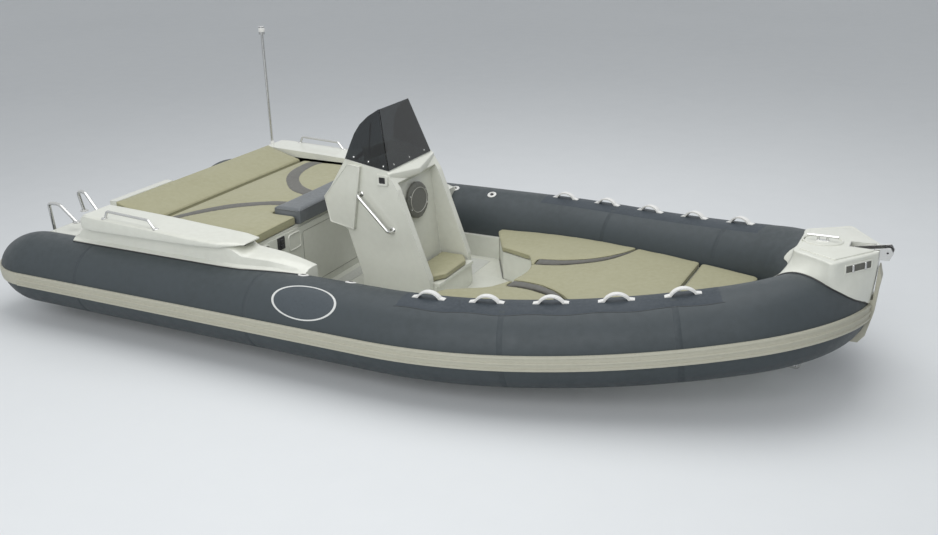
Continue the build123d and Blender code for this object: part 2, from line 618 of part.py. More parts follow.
def make_stern():
    """Transom with its engine well, and a swim platform on each side of it."""
    top = PLATFORM_TOP
    body = block(TRANSOM_X, LOUNGE_AFT_X - 2, -900, 900, FLOOR_Z - FLOOR_THICK, top)
    body = body + block(TRANSOM_X, TRANSOM_X + 70, -WELL_HALF_WIDTH - 40, WELL_HALF_WIDTH + 40, top - 10, top + 60)
    body = body + block(TRANSOM_X - 12, TRANSOM_X, -ENGINE_PAD_HALF, ENGINE_PAD_HALF, 150, top + 40)
    well = block(TRANSOM_X + 70, LOUNGE_AFT_X - 80, -WELL_HALF_WIDTH, WELL_HALF_WIDTH, 330, 900)
    keep("stern_deck", largest(clear_of_tubes(body - well) - PARTS["hull"]))
    platform = block(-2860, TRANSOM_X, WELL_HALF_WIDTH + 60, 900, 430, top) - TUBE_ENVELOPE
    keep("swim_platform_port", platform)
    keep("swim_platform_starboard", mirrored(platform))
    hoops = []
    for y, aft, fore, high in ((-800, -2700, -2480, 710), (-575, -2600, -2480, 740)):
        hoop = bent_bar([(aft, y, top), (aft + 20, y, high), (fore - 20, y, high), (fore, y, top)], 12, 50)
        hoops.append(hoop - PARTS["stern_deck"] - PARTS["swim_platform_starboard"])
    keep("boarding_hoops", hoops)
    pole = Pos(-2080, 1000, 720 + 487) * Cylinder(11, 1000) + Pos(-2080, 1000, 1712) * Cylinder(24, 60)
    keep("light_pole", largest(pole - PARTS["side_moulding_port"]))


def main():
    make_tubes()
    make_strakes()
    make_handles()
    make_hull()
    make_liner()
    make_bow_deck()
    make_bow_cushions()
    make_bow_nose()
    make_stem_guard()
    make_anchor_roller()
    make_cleat()
    make_tow_eye()
    make_console()
    make_console_seat()
    make_windscreen()
    make_console_fittings()
    make_lounge()
    make_side_mouldings()
    make_stern()
    os.makedirs("parts", exist_ok=True)
    for name, shape in PARTS.items():
        export_step(shape, f"parts/{name}.step")


main()
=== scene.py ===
# %% [markdown]
# # An inflatable boat with a rigid hull
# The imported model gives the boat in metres: +X to the bow, +Y to port, +Z up, with the waterline at zero.
# Every piece made here goes where those solids say, so the lesson starts by loading them.

# %% Load the frame
import json
import math
import bmesh
import bpy
from mathutils import Euler, Matrix, Vector
from mathutils.bvhtree import BVHTree


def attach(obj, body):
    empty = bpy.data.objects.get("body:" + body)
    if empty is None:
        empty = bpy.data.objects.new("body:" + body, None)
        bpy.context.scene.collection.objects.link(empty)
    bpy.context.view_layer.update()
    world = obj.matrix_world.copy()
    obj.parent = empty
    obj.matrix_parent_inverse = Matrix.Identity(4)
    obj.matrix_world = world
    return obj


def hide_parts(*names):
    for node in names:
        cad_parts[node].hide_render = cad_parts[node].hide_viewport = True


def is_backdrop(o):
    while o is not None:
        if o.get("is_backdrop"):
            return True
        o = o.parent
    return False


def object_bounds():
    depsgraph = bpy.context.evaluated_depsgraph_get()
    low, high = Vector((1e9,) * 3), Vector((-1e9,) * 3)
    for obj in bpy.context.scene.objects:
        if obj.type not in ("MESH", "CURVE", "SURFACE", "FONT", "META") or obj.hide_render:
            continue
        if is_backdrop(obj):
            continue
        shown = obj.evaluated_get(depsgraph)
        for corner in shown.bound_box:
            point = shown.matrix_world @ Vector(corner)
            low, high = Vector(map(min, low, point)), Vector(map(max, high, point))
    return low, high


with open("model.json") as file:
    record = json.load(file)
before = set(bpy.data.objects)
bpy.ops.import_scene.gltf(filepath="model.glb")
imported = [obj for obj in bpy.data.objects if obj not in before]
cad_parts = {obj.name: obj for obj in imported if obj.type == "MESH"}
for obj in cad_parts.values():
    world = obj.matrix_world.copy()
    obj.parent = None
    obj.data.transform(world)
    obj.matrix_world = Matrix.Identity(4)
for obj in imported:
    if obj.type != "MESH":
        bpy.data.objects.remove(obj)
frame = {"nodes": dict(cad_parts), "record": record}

CAD_BOX = [list(corner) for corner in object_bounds()]
NODES = frame["nodes"]
SIDES = ((1, "port"), (-1, "starboard"))
print("nodes", len(NODES), "box", CAD_BOX)


def linked(name, data, turn=None, place=(0, 0, 0)):
    """A new object in the scene; turn is a rotation matrix."""
    thing = bpy.data.objects.new(name, data)
    if turn:
        thing.matrix_world = Matrix.Translation(place) @ turn.to_4x4()
    bpy.context.scene.collection.objects.link(thing)
    return thing


# %% [markdown]
# ## Camera
# A boat at a mooring is seen from the starboard bow, from a little above the height of an eye.
# The camera's place and its three turns are set as numbers, and the lens gives the angle of view.

# %% Camera
CAMERA_PLACE = Vector((3.251, -5.782, 2.834))
CAMERA_YAW, CAMERA_PITCH, CAMERA_ROLL = 0.4789, 0.3617, -0.0299
SENSOR_WIDTH = 36.0
LENS = 39.85

forward = Vector((-math.sin(CAMERA_YAW) * math.cos(CAMERA_PITCH),
                  math.cos(CAMERA_YAW) * math.cos(CAMERA_PITCH), -math.sin(CAMERA_PITCH)))
level = forward.cross(Vector((0, 0, 1))).normalized()
upright = level.cross(forward)
right = math.cos(CAMERA_ROLL) * level + math.sin(CAMERA_ROLL) * upright
up = math.cos(CAMERA_ROLL) * upright - math.sin(CAMERA_ROLL) * level
camera_data = bpy.data.cameras.new("camera")
camera_data.lens, camera_data.sensor_width = LENS, SENSOR_WIDTH
bpy.context.scene.camera = linked("camera", camera_data, Matrix((right, up, -forward)).transposed(), CAMERA_PLACE)
bpy.context.scene.view_settings.view_transform = "Standard"


# %% Node helpers
def wired(tree, kind, settings=None, **sockets):
    """A shader node whose sockets take values or the outputs of other nodes; i0, i1 are sockets by number."""
    node = tree.nodes.new("ShaderNode" + kind)
    for name, value in (settings or {}).items():
        setattr(node, name, value)
    for name, value in sockets.items():
        index = name[1:]
        socket = node.inputs[int(index)] if index.isdigit() else node.inputs[name.replace("_", " ")]
        if isinstance(value, bpy.types.NodeSocket):
            tree.links.new(value, socket)
        else:
            socket.default_value = value
    return node


def maths(tree, operation, *values):
    """The result of one sum on numbers or outputs."""
    return wired(tree, "Math", {"operation": operation}, **{f"i{k}": v for k, v in enumerate(values)}).outputs[0]


def group(name, inputs, outputs):
    """An empty node group with named sockets; returns it with what goes in and its last node."""
    tree = bpy.data.node_groups.new(name, "ShaderNodeTree")
    for direction, table in (("INPUT", inputs), ("OUTPUT", outputs)):
        for label, kind in table.items():
            tree.interface.new_socket(name=label, in_out=direction, socket_type="NodeSocket" + kind)
    return tree, tree.nodes.new("NodeGroupInput").outputs, tree.nodes.new("NodeGroupOutput")


# %% [markdown]
# ## Light
# The boat floats, so the floor stands for the water and lies at zero. The hull's bottom is under it.
# A wide lamp overhead and a pale sky give soft light. Rays that come from the camera or from a polished
# piece see a plain pale background in place of the lamps' own level.

# %% Light
BACKGROUND = (0.80, 0.82, 0.83, 1)
SKY_COLOUR, SKY_STRENGTH = (0.93, 0.96, 1, 1), 0.46

world = bpy.data.worlds.new("soft sky")
bpy.context.scene.world = world
world.use_nodes = True
sky = world.node_tree
sky.nodes.clear()
path = wired(sky, "LightPath").outputs
seen_or_shone = path["Is Camera Ray"]
for name in ("Is Glossy Ray", "Is Transmission Ray"):
    seen_or_shone = maths(sky, "MAXIMUM", seen_or_shone, path[name])
lit = wired(sky, "Background", Color=SKY_COLOUR, Strength=SKY_STRENGTH)
seen = wired(sky, "Background", Color=BACKGROUND, Strength=1.0)
either = wired(sky, "MixShader", i0=seen_or_shone, i1=lit.outputs[0], i2=seen.outputs[0])
wired(sky, "OutputWorld", i0=either.outputs[0])


def lamp(name, place, aim, wide, watts):
    """A square soft lamp that points from one place to another."""
    data = bpy.data.lights.new(name, "AREA")
    data.size, data.energy = wide, watts
    linked(name, data, (Vector(aim) - Vector(place)).to_track_quat("-Z", "Y").to_matrix(), place)


lamp("overhead lamp", (0.3, 0.2, 5.5), (0.3, 0, 0), 6.0, 205)
lamp("starboard lamp", (1.2, -9.0, 5.2), (-0.2, 0, 0.5), 7.0, 420)

# %% [markdown]
# ## Finishes
# A boat has few materials: polished gelcoat, coated tube fabric, rubber, vinyl over foam, steel and smoked acrylic.
# What several of them share, such as grain and worn edges, is built once as a group of nodes. Each material
# then places the group with its own numbers, so that a change of grain reaches every piece that has it.
#
# The patina group mottles a colour. Large soft patches stand for sun and hand marks, and small ones for dust.
# It gives a roughness too, because a dusty place shines less.

# %% Patina group
DUST_FINENESS = 14.0        # how many times smaller the dust's patches are
DUST_DULLS = 0.35           # what full dust adds to the roughness
PATINA, given, result = group("patina", {"Colour": "Color", "Shade": "Color", "Amount": "Float", "Patches": "Float",
                                         "Roughness": "Float"}, {"Colour": "Color", "Roughness": "Float"})
place = wired(PATINA, "TexCoord").outputs["Object"]
large = wired(PATINA, "TexNoise", Vector=place, Scale=given["Patches"], Detail=4.0, Roughness=0.6)
fine = wired(PATINA, "TexNoise", Vector=place, Scale=maths(PATINA, "MULTIPLY", given["Patches"], DUST_FINENESS),
             Detail=3.0)
both = maths(PATINA, "MULTIPLY", large.outputs["Fac"], fine.outputs["Fac"])
spread = wired(PATINA, "MapRange", Value=both, From_Min=0.14, From_Max=0.42)
share = maths(PATINA, "MULTIPLY", spread.outputs[0], given["Amount"])
blend = wired(PATINA, "Mix", {"data_type": "RGBA"}, i0=share, i6=given["Colour"], i7=given["Shade"])
PATINA.links.new(blend.outputs[2], result.inputs["Colour"])
PATINA.links.new(maths(PATINA, "MULTIPLY_ADD", share, DUST_DULLS, given["Roughness"]), result.inputs["Roughness"])

# %% [markdown]
# The grain group gives the height of a fine texture. Its cells are the pores of vinyl or the threads of fabric,
# and its noise is the ripple that moulds and rollers leave.

# %% Grain group
GRAIN, given, result = group("grain", {"Cells": "Float", "Ripple": "Float", "Balance": "Float"}, {"Height": "Float"})
place = wired(GRAIN, "TexCoord").outputs["Object"]
cells = wired(GRAIN, "TexVoronoi", {"feature": "SMOOTH_F1"}, Vector=place, Scale=given["Cells"])
ripple = wired(GRAIN, "TexNoise", Vector=place, Scale=given["Ripple"], Detail=2.0)
height = wired(GRAIN, "Mix", i0=given["Balance"], i2=cells.outputs["Distance"], i3=ripple.outputs["Fac"])
GRAIN.links.new(height.outputs[0], result.inputs["Height"])

# %% [markdown]
# The edge group finds where a rounded copy of the surface would turn away from the real one. That is where an edge is.
# The finishes pale the colour there, partly for rubbed edges and partly as painted highlight for the light edges
# catch.
# The rounded normal also takes the knife edge off moulded corners.

# %% Edge group
EDGE, given, result = group("soft edge", {"Radius": "Float", "Wear": "Float"}, {"Normal": "Vector", "Mask": "Float"})
rounded = wired(EDGE, "Bevel", {"samples": 4}, Radius=given["Radius"])
true_normal = wired(EDGE, "NewGeometry").outputs["Normal"]
alike = wired(EDGE, "VectorMath", {"operation": "DOT_PRODUCT"}, i0=rounded.outputs[0], i1=true_normal)
turned = wired(EDGE, "MapRange", Value=alike.outputs["Value"], From_Min=0.995, From_Max=0.80)
EDGE.links.new(rounded.outputs[0], result.inputs["Normal"])
EDGE.links.new(maths(EDGE, "MULTIPLY", turned.outputs[0], given["Wear"]), result.inputs["Mask"])


# %% [markdown]
# ## One recipe for the painted, moulded and sewn finishes
# Every opaque finish is the same chain: patina colours it, edges are paled (rubbed, and painted highlight), grain
# bumps it.
# Thin layers that lie on a tube have no edge radius, because a rounded normal would find the tube under them.

# %% Surface recipe
def surface(name, colour, shade, roughness, amount=0.35, patches=3, cells=300, ripple=40, balance=0.5, bump=0.0004,
            edge=0.004, wear=0.25, pale=None, metallic=0.0, coat=0.0, sheen=0.0, gloss=0.5):
    """An opaque finish; returns the material."""
    material = bpy.data.materials.new(name)
    material.use_nodes = True
    tree = material.node_tree
    shader = tree.nodes["Principled BSDF"]
    patina = wired(tree, "Group", {"node_tree": PATINA}, Colour=(*colour, 1), Shade=(*shade, 1), Amount=amount,
                   Patches=patches, Roughness=roughness)
    soft = wired(tree, "Group", {"node_tree": EDGE}, Radius=edge, Wear=wear)
    # the edge colour: paler where edges are rubbed, and painted highlight for the light they catch
    lift = pale or tuple(min(1.0, c * 1.25 + 0.02) for c in colour)
    worn_and_lit = wired(tree, "Mix", {"data_type": "RGBA"}, i0=soft.outputs["Mask"] if edge else 0.0,
                 i6=patina.outputs["Colour"], i7=(*lift, 1))
    grain = wired(tree, "Group", {"node_tree": GRAIN}, Cells=cells, Ripple=ripple, Balance=balance)
    bumped = wired(tree, "Bump", Strength=0.6, Distance=bump, Height=grain.outputs["Height"],
                   **({"Normal": soft.outputs["Normal"]} if edge else {}))
    tree.links.new(worn_and_lit.outputs[2], shader.inputs["Base Color"])
    tree.links.new(patina.outputs["Roughness"], shader.inputs["Roughness"])
    tree.links.new(bumped.outputs[0], shader.inputs["Normal"])
    for socket, value in (("Metallic", metallic), ("Specular IOR Level", gloss), ("Coat Weight", coat),
                          ("Coat Roughness", 0.12), ("Sheen Weight", sheen)):
        shader.inputs[socket].default_value = value
    return material


# %% Finishes of the boat
# Each finish's edge numbers set how far its edges pale: partly rubbing, partly painted highlight.
VINYL = {"amount": 0.4, "cells": 420, "ripple": 120, "balance": 0.35, "sheen": 0.1}
FABRIC = {"cells": 900, "ripple": 30, "edge": 0.0, "wear": 0.2, "gloss": 0.3}
SLIM = {"amount": 0.3, "cells": 800, "bump": 0.0002, "wear": 0.1}      # piping, lines and other narrow trim
FINISH = {
    "gelcoat_white": surface("gelcoat", (0.66, 0.67, 0.60), (0.50, 0.50, 0.43), 0.28, 0.25, 1.7, 60, 22, 0.85,
                             0.0006, edge=0.007, wear=0.5, pale=(0.80, 0.81, 0.77), coat=0.4),
    "hull_white": surface("hull gelcoat", (0.66, 0.67, 0.65), (0.46, 0.47, 0.43), 0.25, 0.35, 1.2, 50, 18, 0.85,
                          0.0006, coat=0.5),
    "tube_fabric": surface("tube fabric", (0.050, 0.061, 0.067), (0.040, 0.048, 0.050), 0.42, 0.45, 1.6, 900, 7,
                           0.35, 0.0005, edge=0.003, wear=0.2, gloss=0.3),
    "strake_rubber": surface("strake rubber", (0.44, 0.43, 0.35), (0.34, 0.33, 0.26), 0.5, 0.3, 3, 260, 60,
                             bump=0.0005, edge=0.003, wear=0.5),
    "cushion_tan": surface("sand vinyl", (0.335, 0.323, 0.20), (0.275, 0.262, 0.155), 0.5, patches=2.2, bump=0.0006,
                           edge=0.006, wear=0.35, **VINYL),
    "cushion_grey": surface("grey vinyl", (0.095, 0.092, 0.080), (0.068, 0.066, 0.057), 0.48, bump=0.0006,
                            edge=0.006, wear=0.3, **VINYL),
    "handle_white": surface("handle plastic", (0.74, 0.74, 0.72), (0.58, 0.57, 0.53), 0.42, 0.3, 8, 500, 80,
                            bump=0.0003, edge=0.003, wear=0.4),
    "stainless": surface("stainless steel", (0.62, 0.62, 0.61), (0.42, 0.42, 0.41), 0.14, 0.3, 9, 700, 150,
                         bump=0.00012, edge=0.002, wear=0.3, metallic=1.0),
    "black_plastic": surface("black plastic", (0.022, 0.022, 0.024), (0.045, 0.044, 0.042), 0.4, 0.4, 12, 800, 90,
                             bump=0.0003, edge=0.002, wear=0.3),
}
print("finishes", sorted(FINISH))

# %% [markdown]
# ## Smoked acrylic
# The screen is a bent sheet. It lets a little light through, tinted dark, and its faces mirror the sky.
# Only its colour and roughness change over the surface, with faint wipe marks.

# %% Smoked acrylic
smoke = bpy.data.materials.new("smoked acrylic")
smoke.use_nodes = True
tree = smoke.node_tree
shader = tree.nodes["Principled BSDF"]
marks = wired(tree, "Group", {"node_tree": PATINA}, Colour=(0.030, 0.037, 0.041, 1), Shade=(0.045, 0.052, 0.056, 1),
              Amount=0.3, Patches=4.0, Roughness=0.03)
tree.links.new(marks.outputs["Colour"], shader.inputs["Base Color"])
tree.links.new(marks.outputs["Roughness"], shader.inputs["Roughness"])
shader.inputs["Transmission Weight"].default_value = 0.92
shader.inputs["IOR"].default_value = 1.49
FINISH["screen_smoke"] = smoke

SLOT_OF = {p["node"]: p["material_slot"] for p in frame["record"]["subparts"]}
for name, node in NODES.items():
    node.data.materials.clear()
    node.data.materials.append(FINISH[SLOT_OF[name]])
print("slots in use", sorted(set(SLOT_OF.values())))

# %% [markdown]
# ## Making pieces
# Each piece is a mesh with its own name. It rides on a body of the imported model, most often the boat itself, and
# takes the finish of a slot, unless it names one of its own.

# %% Piece helpers
CRISP = 0.6                 # the angle from which an edge shades sharp, in radians
AXIS_Y, AXIS_Z = Vector((0, 1, 0)), Vector((0, 0, 1))


def dressed(name, mesh, slot_name, finish=None, body="boat", crisp=0.0):
    """Link a mesh as a piece on a body."""
    thing = linked(name, mesh)
    mesh.materials.clear()
    mesh.materials.append(finish or FINISH[slot_name])
    for face in mesh.polygons:
        face.use_smooth = True
    if crisp:
        mesh.set_sharp_from_angle(angle=crisp)
    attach(thing, body)
    return thing


def taken_from(thing):
    """The mesh that an object shows, modifiers and all; the object is removed."""
    mesh = bpy.data.meshes.new_from_object(thing.evaluated_get(bpy.context.evaluated_depsgraph_get()))
    bpy.data.objects.remove(thing)
    return mesh


def from_bmesh(name, bm, slot_name, finish=None, body="boat"):
    """A piece with crisp edges from a bmesh, which is freed."""
    bmesh.ops.recalc_face_normals(bm, faces=bm.faces)
    mesh = bpy.data.meshes.new(name)
    bm.to_mesh(mesh)
    bm.free()
    return dressed(name, mesh, slot_name, finish, body, CRISP)


def line(name, runs, radius, slot_name, finish=None, body="boat", closed=False, sides=4):
    """Round rods or piping along lists of points; closed joins each run's ends."""
    curve = bpy.data.curves.new(name, "CURVE")
    curve.dimensions = "3D"
    curve.bevel_depth, curve.bevel_resolution, curve.use_fill_caps = radius, sides, True
    for run in runs:
        spline = curve.splines.new("POLY")
        spline.points.add(len(run) - 1)
        for knot, place in zip(spline.points, run):
            knot.co = (*place, 1)
        spline.use_cyclic_u = closed
    mesh = taken_from(linked(name + "_path", curve))
    bpy.data.curves.remove(curve)
    mesh.name = name
    return dressed(name, mesh, slot_name, finish, body)


def smooth_run(points, steps=8, closed=False):
    """Points on a Catmull-Rom line through the given ones."""
    points = [Vector(p) for p in points]
    count = len(points)
    out = []
    for i in range(count if closed else count - 1):
        if closed:
            a, b, c, d = (points[(i + k) % count] for k in (-1, 0, 1, 2))
        else:
            a, b, c, d = points[max(i - 1, 0)], points[i], points[i + 1], points[min(i + 2, count - 1)]
        for k in range(steps):
            t = k / steps
            out.append(0.5 * (2 * b + (c - a) * t + (2 * a - 5 * b + 4 * c - d) * t * t
                              + (3 * b - a - 3 * c + d) * t ** 3))
    return out if closed else out + [points[-1]]


def ellipse(count, half_wide, half_high, place):
    """A closed run of points; place(u, v) puts each one."""
    turns = (2 * math.pi * k / count for k in range(count))
    return [place(half_wide * math.cos(t), half_high * math.sin(t)) for t in turns]


def rounded_corners(half_wide, half_high, corner, steps, span):
    """The outline of a rounded rectangle round zero; span is the angle between points, in degrees."""
    return [(sx * (half_wide - corner) + corner * math.cos(math.radians(90 * q + span * k)),
             sz * (half_high - corner) + corner * math.sin(math.radians(90 * q + span * k)))
            for q, (sx, sz) in enumerate(((1, 1), (-1, 1), (-1, -1), (1, -1))) for k in range(steps)]


def mirrored(points):
    """The same points on the other side of the boat."""
    return [Vector((p[0], -p[1], p[2])) for p in points]


def soften(bm, edges, offset, segments=3):
    """Round edges over."""
    return bmesh.ops.bevel(bm, geom=edges, offset=offset, segments=segments, profile=0.5, affect="EDGES", material=-1)


def belt(bm, a, b):
    """Faces between two closed rows of corners."""
    for k in range(len(a)):
        j = (k + 1) % len(a)
        bm.faces.new((a[k], a[j], b[j], b[k]))


def prism(bm, outline, top, low):
    """A solid with upright sides; outline holds (x, y), and top and low give the height there. Returns its rim."""
    above, below = ([bm.verts.new((x, y, height(x))) for x, y in outline] for height in (top, low))
    bm.faces.new(above)
    bm.faces.new(list(reversed(below)))
    belt(bm, below, above)
    return [bm.edges.get((above[k - 1], above[k])) for k in range(len(above))]


def slab(bm, outline, top, thick, soft, segments):
    """A level plate under an outline, with a soft upper edge."""
    soften(bm, prism(bm, outline, lambda x: top, lambda x: top - thick), soft, segments)


def block(bm, centre, size, turn=None, soft=0.004, segments=3):
    """A box with rounded edges, centred there; turn is a rotation matrix."""
    made = bmesh.ops.create_cube(bm, size=1.0, matrix=Matrix.Diagonal((*size, 1)))["verts"]
    done = soften(bm, list({e for v in made for e in v.link_edges}), soft, segments)
    verts = list({v for f in done["faces"] for v in f.verts} | {v for v in made if v.is_valid})
    spin = (turn or Matrix.Identity(3)).to_4x4()
    bmesh.ops.transform(bm, matrix=Matrix.Translation(centre) @ spin, verts=verts)


def boxes(name, slot_name, rows, finish=None):
    """A piece of rounded boxes; each row is what block takes."""
    bm = bmesh.new()
    for row in rows:
        block(bm, *row)
    return from_bmesh(name, bm, slot_name, finish)


def disc(bm, centre, normal, profile, sides=28):
    """A turned part: profile lists (radius, height) along the normal, from the axis at its foot to the axis again."""
    frame_of = Vector(normal).to_track_quat("Z", "Y").to_matrix().to_4x4()
    last = None
    for radius, rise in [(0, 0)] + profile:
        ring = ellipse(sides if radius else 1, radius, radius, lambda u, v: bm.verts.new((u, v, rise)))
        bmesh.ops.transform(bm, matrix=Matrix.Translation(centre) @ frame_of, verts=ring)
        if last:
            for k in range(sides):
                a, b = last[k % len(last)], last[(k + 1) % len(last)]
                c, d = ring[(k + 1) % len(ring)], ring[k % len(ring)]
                bm.faces.new([v for i, v in enumerate((a, b, c, d)) if v not in (a, b, c, d)[:i]])
        last = ring


def discs(name, slot_name, spots, profile, sides=28, finish=None):
    """A piece of like turned parts; spots lists (centre, normal)."""
    bm = bmesh.new()
    for centre, normal in spots:
        disc(bm, centre, normal, profile, sides)
    return from_bmesh(name, bm, slot_name, finish)


def opened(*meshes):
    """A bmesh of all those meshes."""
    bm = bmesh.new()
    for mesh in meshes:
        bm.from_mesh(mesh)
    return bm


def skin_of(*names):
    """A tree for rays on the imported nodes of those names."""
    bm = opened(*(NODES[name].data for name in names))
    tree = BVHTree.FromBMesh(bm)
    bm.free()
    return tree


def tree_of(thing):
    """A tree for rays on a piece made here."""
    return BVHTree.FromPolygons([v.co for v in thing.data.vertices], [tuple(p.vertices) for p in thing.data.polygons])


def chains(bm, edges):
    """The closed lines that a set of edges makes, as lists of points. Each starts at its lowest edge, so that every
    run of this script gives the same points."""
    bm.edges.index_update()
    out = []
    while edges:
        first = min(edges, key=lambda e: e.index)
        edges.discard(first)
        chain = list(first.verts)
        while True:
            onward = next((e for e in chain[-1].link_edges if e in edges), None)
            if onward is None:
                break
            edges.discard(onward)
            chain.append(onward.other_vert(chain[-1]))
        out.append([v.co.copy() for v in chain[:-1]])
    return out


# %% [markdown]
# ## Cushions
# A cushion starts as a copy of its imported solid. It is remeshed to even cells, pressure swells it between its
# corners, and the swelling is held to a few millimetres. Seams come afterwards, because the remesh would lose them:
# a seam presses the surface in along a line, and a thin welt follows the cut of a plane through the pad.

# %% Cushion helpers
TUCK = 0.004                # the cloth starts this far inside the solid
PRESSURE, LAST_FRAME = 4, 20
WELT_RADIUS = 0.0028


def swollen(name, source, cell, swell):
    """A padded copy of a mesh; cell is the size of its squares, and swell how far it may grow."""
    thing = linked(name, source)
    remesh = thing.modifiers.new("even cells", "REMESH")
    remesh.mode, remesh.voxel_size = "VOXEL", cell
    mesh = taken_from(thing)
    bm = opened(mesh)
    for _ in range(3):
        bmesh.ops.smooth_vert(bm, verts=bm.verts, factor=0.5, use_axis_x=True, use_axis_y=True, use_axis_z=True)
    bm.normal_update()
    for v in bm.verts:
        v.co -= v.normal * TUCK
    bm.to_mesh(mesh)
    bm.free()
    rest = [v.co.copy() for v in mesh.vertices]
    thing = linked(name, mesh)
    cloth = thing.modifiers.new("pressure", "CLOTH")
    settings = cloth.settings
    settings.use_pressure, settings.uniform_pressure_force, settings.quality = True, PRESSURE, 4
    settings.effector_weights.gravity = 0
    cloth.point_cache.frame_start, cloth.point_cache.frame_end = 1, LAST_FRAME
    scene = bpy.context.scene
    for step in range(1, LAST_FRAME + 1):
        scene.frame_set(step)
    mesh = taken_from(thing)
    for v, start in zip(mesh.vertices, rest):
        move = v.co - start
        if move.length > swell:
            v.co = start + move * (swell / move.length)
    scene.frame_set(1)
    mesh.name = name
    return mesh


def closest(p, a, b):
    """How far p is from the run from a to b, in plan."""
    along_run = b - a
    t = max(0.0, min(1.0, (p - a).dot(along_run) / max(along_run.dot(along_run), 1e-12)))
    return (a + along_run * t - p).length


def pressed(mesh, seams, depth=0.006, width=0.010):
    """Press the surface in along seams, each a list of points; only their places in plan count."""
    bm = opened(mesh)
    bm.normal_update()
    for v in bm.verts:
        away = min(closest(v.co.xy, a.xy, b.xy) for run in seams for a, b in zip(run, run[1:]))
        if away < 3 * width:
            v.co -= v.normal * depth * math.exp(-(away / width) ** 2)
    bm.to_mesh(mesh)
    bm.free()


def cut_loops(mesh, place, normal, spacing=0.02):
    """Closed lines where a plane cuts a mesh, with evenly spaced points."""
    bm = opened(mesh)
    cut = bmesh.ops.bisect_plane(bm, geom=bm.verts[:] + bm.edges[:] + bm.faces[:], plane_co=place, plane_no=normal)
    loops = []
    for run in chains(bm, {g for g in cut["geom_cut"] if isinstance(g, bmesh.types.BMEdge)}):
        even, gone = [run[0]], 0.0
        for a, b in zip(run, run[1:]):
            gone += (b - a).length
            if gone >= spacing:
                even.append(b)
                gone = 0.0
        if len(even) > 6:
            loops.append([(even[i - 1] + even[i] * 2 + even[(i + 1) % len(even)]) / 4 for i in range(len(even))])
    bm.free()
    return loops


def pad(node, body, slot_name, finish=None, cell=0.008, swell=0.010, seams=(), welts=(), part=None,
        name=None):
    """Replace a soft node by a padded piece with its seams and welts. part picks one loose solid by a test."""
    source = NODES[node].data
    if part:
        bm = opened(source)
        bmesh.ops.delete(bm, geom=[v for v in bm.verts if not part(v.co)], context="VERTS")
        source = bpy.data.meshes.new(node + "_part")
        bm.to_mesh(source)
        bm.free()
    name = name or node + "_padded"
    mesh = swollen(name, source, cell, swell)
    if seams:
        pressed(mesh, seams)
    thing = dressed(name, mesh, slot_name, finish, body)
    loops = [loop for place, normal in welts for loop in cut_loops(mesh, Vector(place), Vector(normal))]
    if loops:
        trim = line(name + "_welt", [smooth_run(loop, 3, True) for loop in loops], WELT_RADIUS, slot_name, finish,
                    body, closed=True, sides=2)
        trim.parent = thing
        trim.matrix_parent_inverse = Matrix.Identity(4)
    rounder = thing.modifiers.new("fine skin", "SUBSURF")
    rounder.levels = rounder.render_levels = 1
    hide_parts(node)
    return thing


# %% [markdown]
# ## Bow cushions
# Four pads lie on the raised foredeck, parted by two grey bands. Their tops follow the deck, which rises a little
# towards the bow, so the plane of each welt leans by the same slope.

# %% Bow cushions
BOW_WELT = [((0.1, 0, 0.366), (-0.052, 0, 1))]
for node, body, cell in (("bow_cushion_port", "boat", 0.011), ("bow_cushion_starboard", "boat", 0.011),
                         ("bow_cushion_centre", "boat", 0.013), ("bow_cushion_fore", "bow_hatch", 0.011)):
    pad(node, body, "cushion_tan", cell=cell, swell=0.007, welts=BOW_WELT)
for side, word in SIDES:
    pad("bow_bands", "boat", "cushion_grey", cell=0.007, swell=0.005, part=lambda p: p.y * side > 0,
        name=f"bow_band_{word}_padded")

# %% [markdown]
# ## Seats and sun pad
# The sun pad is two mattresses over the stern locker, the after one wedge shaped. Grey bands are sewn into the
# forward one: their edges are seams, and the grey vinyl lies a hair proud of the sand one.

# %% Seats
# This grey's edges pale strongly, to a light grey: partly rubbing, partly painted highlight.
STEEL_GREY = surface("slate vinyl", (0.115, 0.127, 0.135), (0.085, 0.093, 0.098), 0.42, bump=0.0006, edge=0.008,
                     wear=0.6, pale=(0.33, 0.34, 0.34), **VINYL)
DARK_BACK = surface("backrest vinyl", (0.115, 0.117, 0.102), (0.085, 0.085, 0.074), 0.45, patches=6, bump=0.0005,
                    edge=0.005, wear=0.4, **VINYL)
PIPING = surface("light piping", (0.42, 0.42, 0.38), (0.32, 0.32, 0.28), 0.45, patches=20, **{**SLIM, "cells": 600})
pad("console_seat_cushion", "console_hatch", "cushion_tan", swell=0.007, welts=[((0, 0, 0.357), AXIS_Z)])
pad("helm_seat_cushion", "lounge_hatch", "cushion_grey", STEEL_GREY, cell=0.009, swell=0.008,
    welts=[((0, 0, 0.748), AXIS_Z)])
back = pad("console_backrest", "boat", "cushion_grey", DARK_BACK, cell=0.006, swell=0.004)

# %% Sun pad with its bands
THIN_BAND = ([(-1.66, -0.852), (-1.60, -0.66), (-1.43, -0.37), (-1.19, -0.19), (-1.048, -0.125)],
             [(-1.57, -0.852), (-1.50, -0.67), (-1.34, -0.44), (-1.16, -0.29), (-1.048, -0.23)])
WIDE_BAND = ([(-1.57, 0.852), (-1.582, 0.72), (-1.555, 0.52), (-1.46, 0.32), (-1.31, 0.14), (-1.19, 0.045),
              (-1.048, 0.012)],
             [(-1.45, 0.852), (-1.457, 0.72), (-1.43, 0.54), (-1.36, 0.38), (-1.25, 0.25), (-1.15, 0.18),
              (-1.048, 0.155)])
ACROSS = 8                  # strips across a band
PROUD, SUNK, BAND_THICK = 0.0015, -0.004, 0.006


def edges_of(band, steps=7):
    return [smooth_run([(x, y, 0) for x, y in edge], steps) for edge in band]


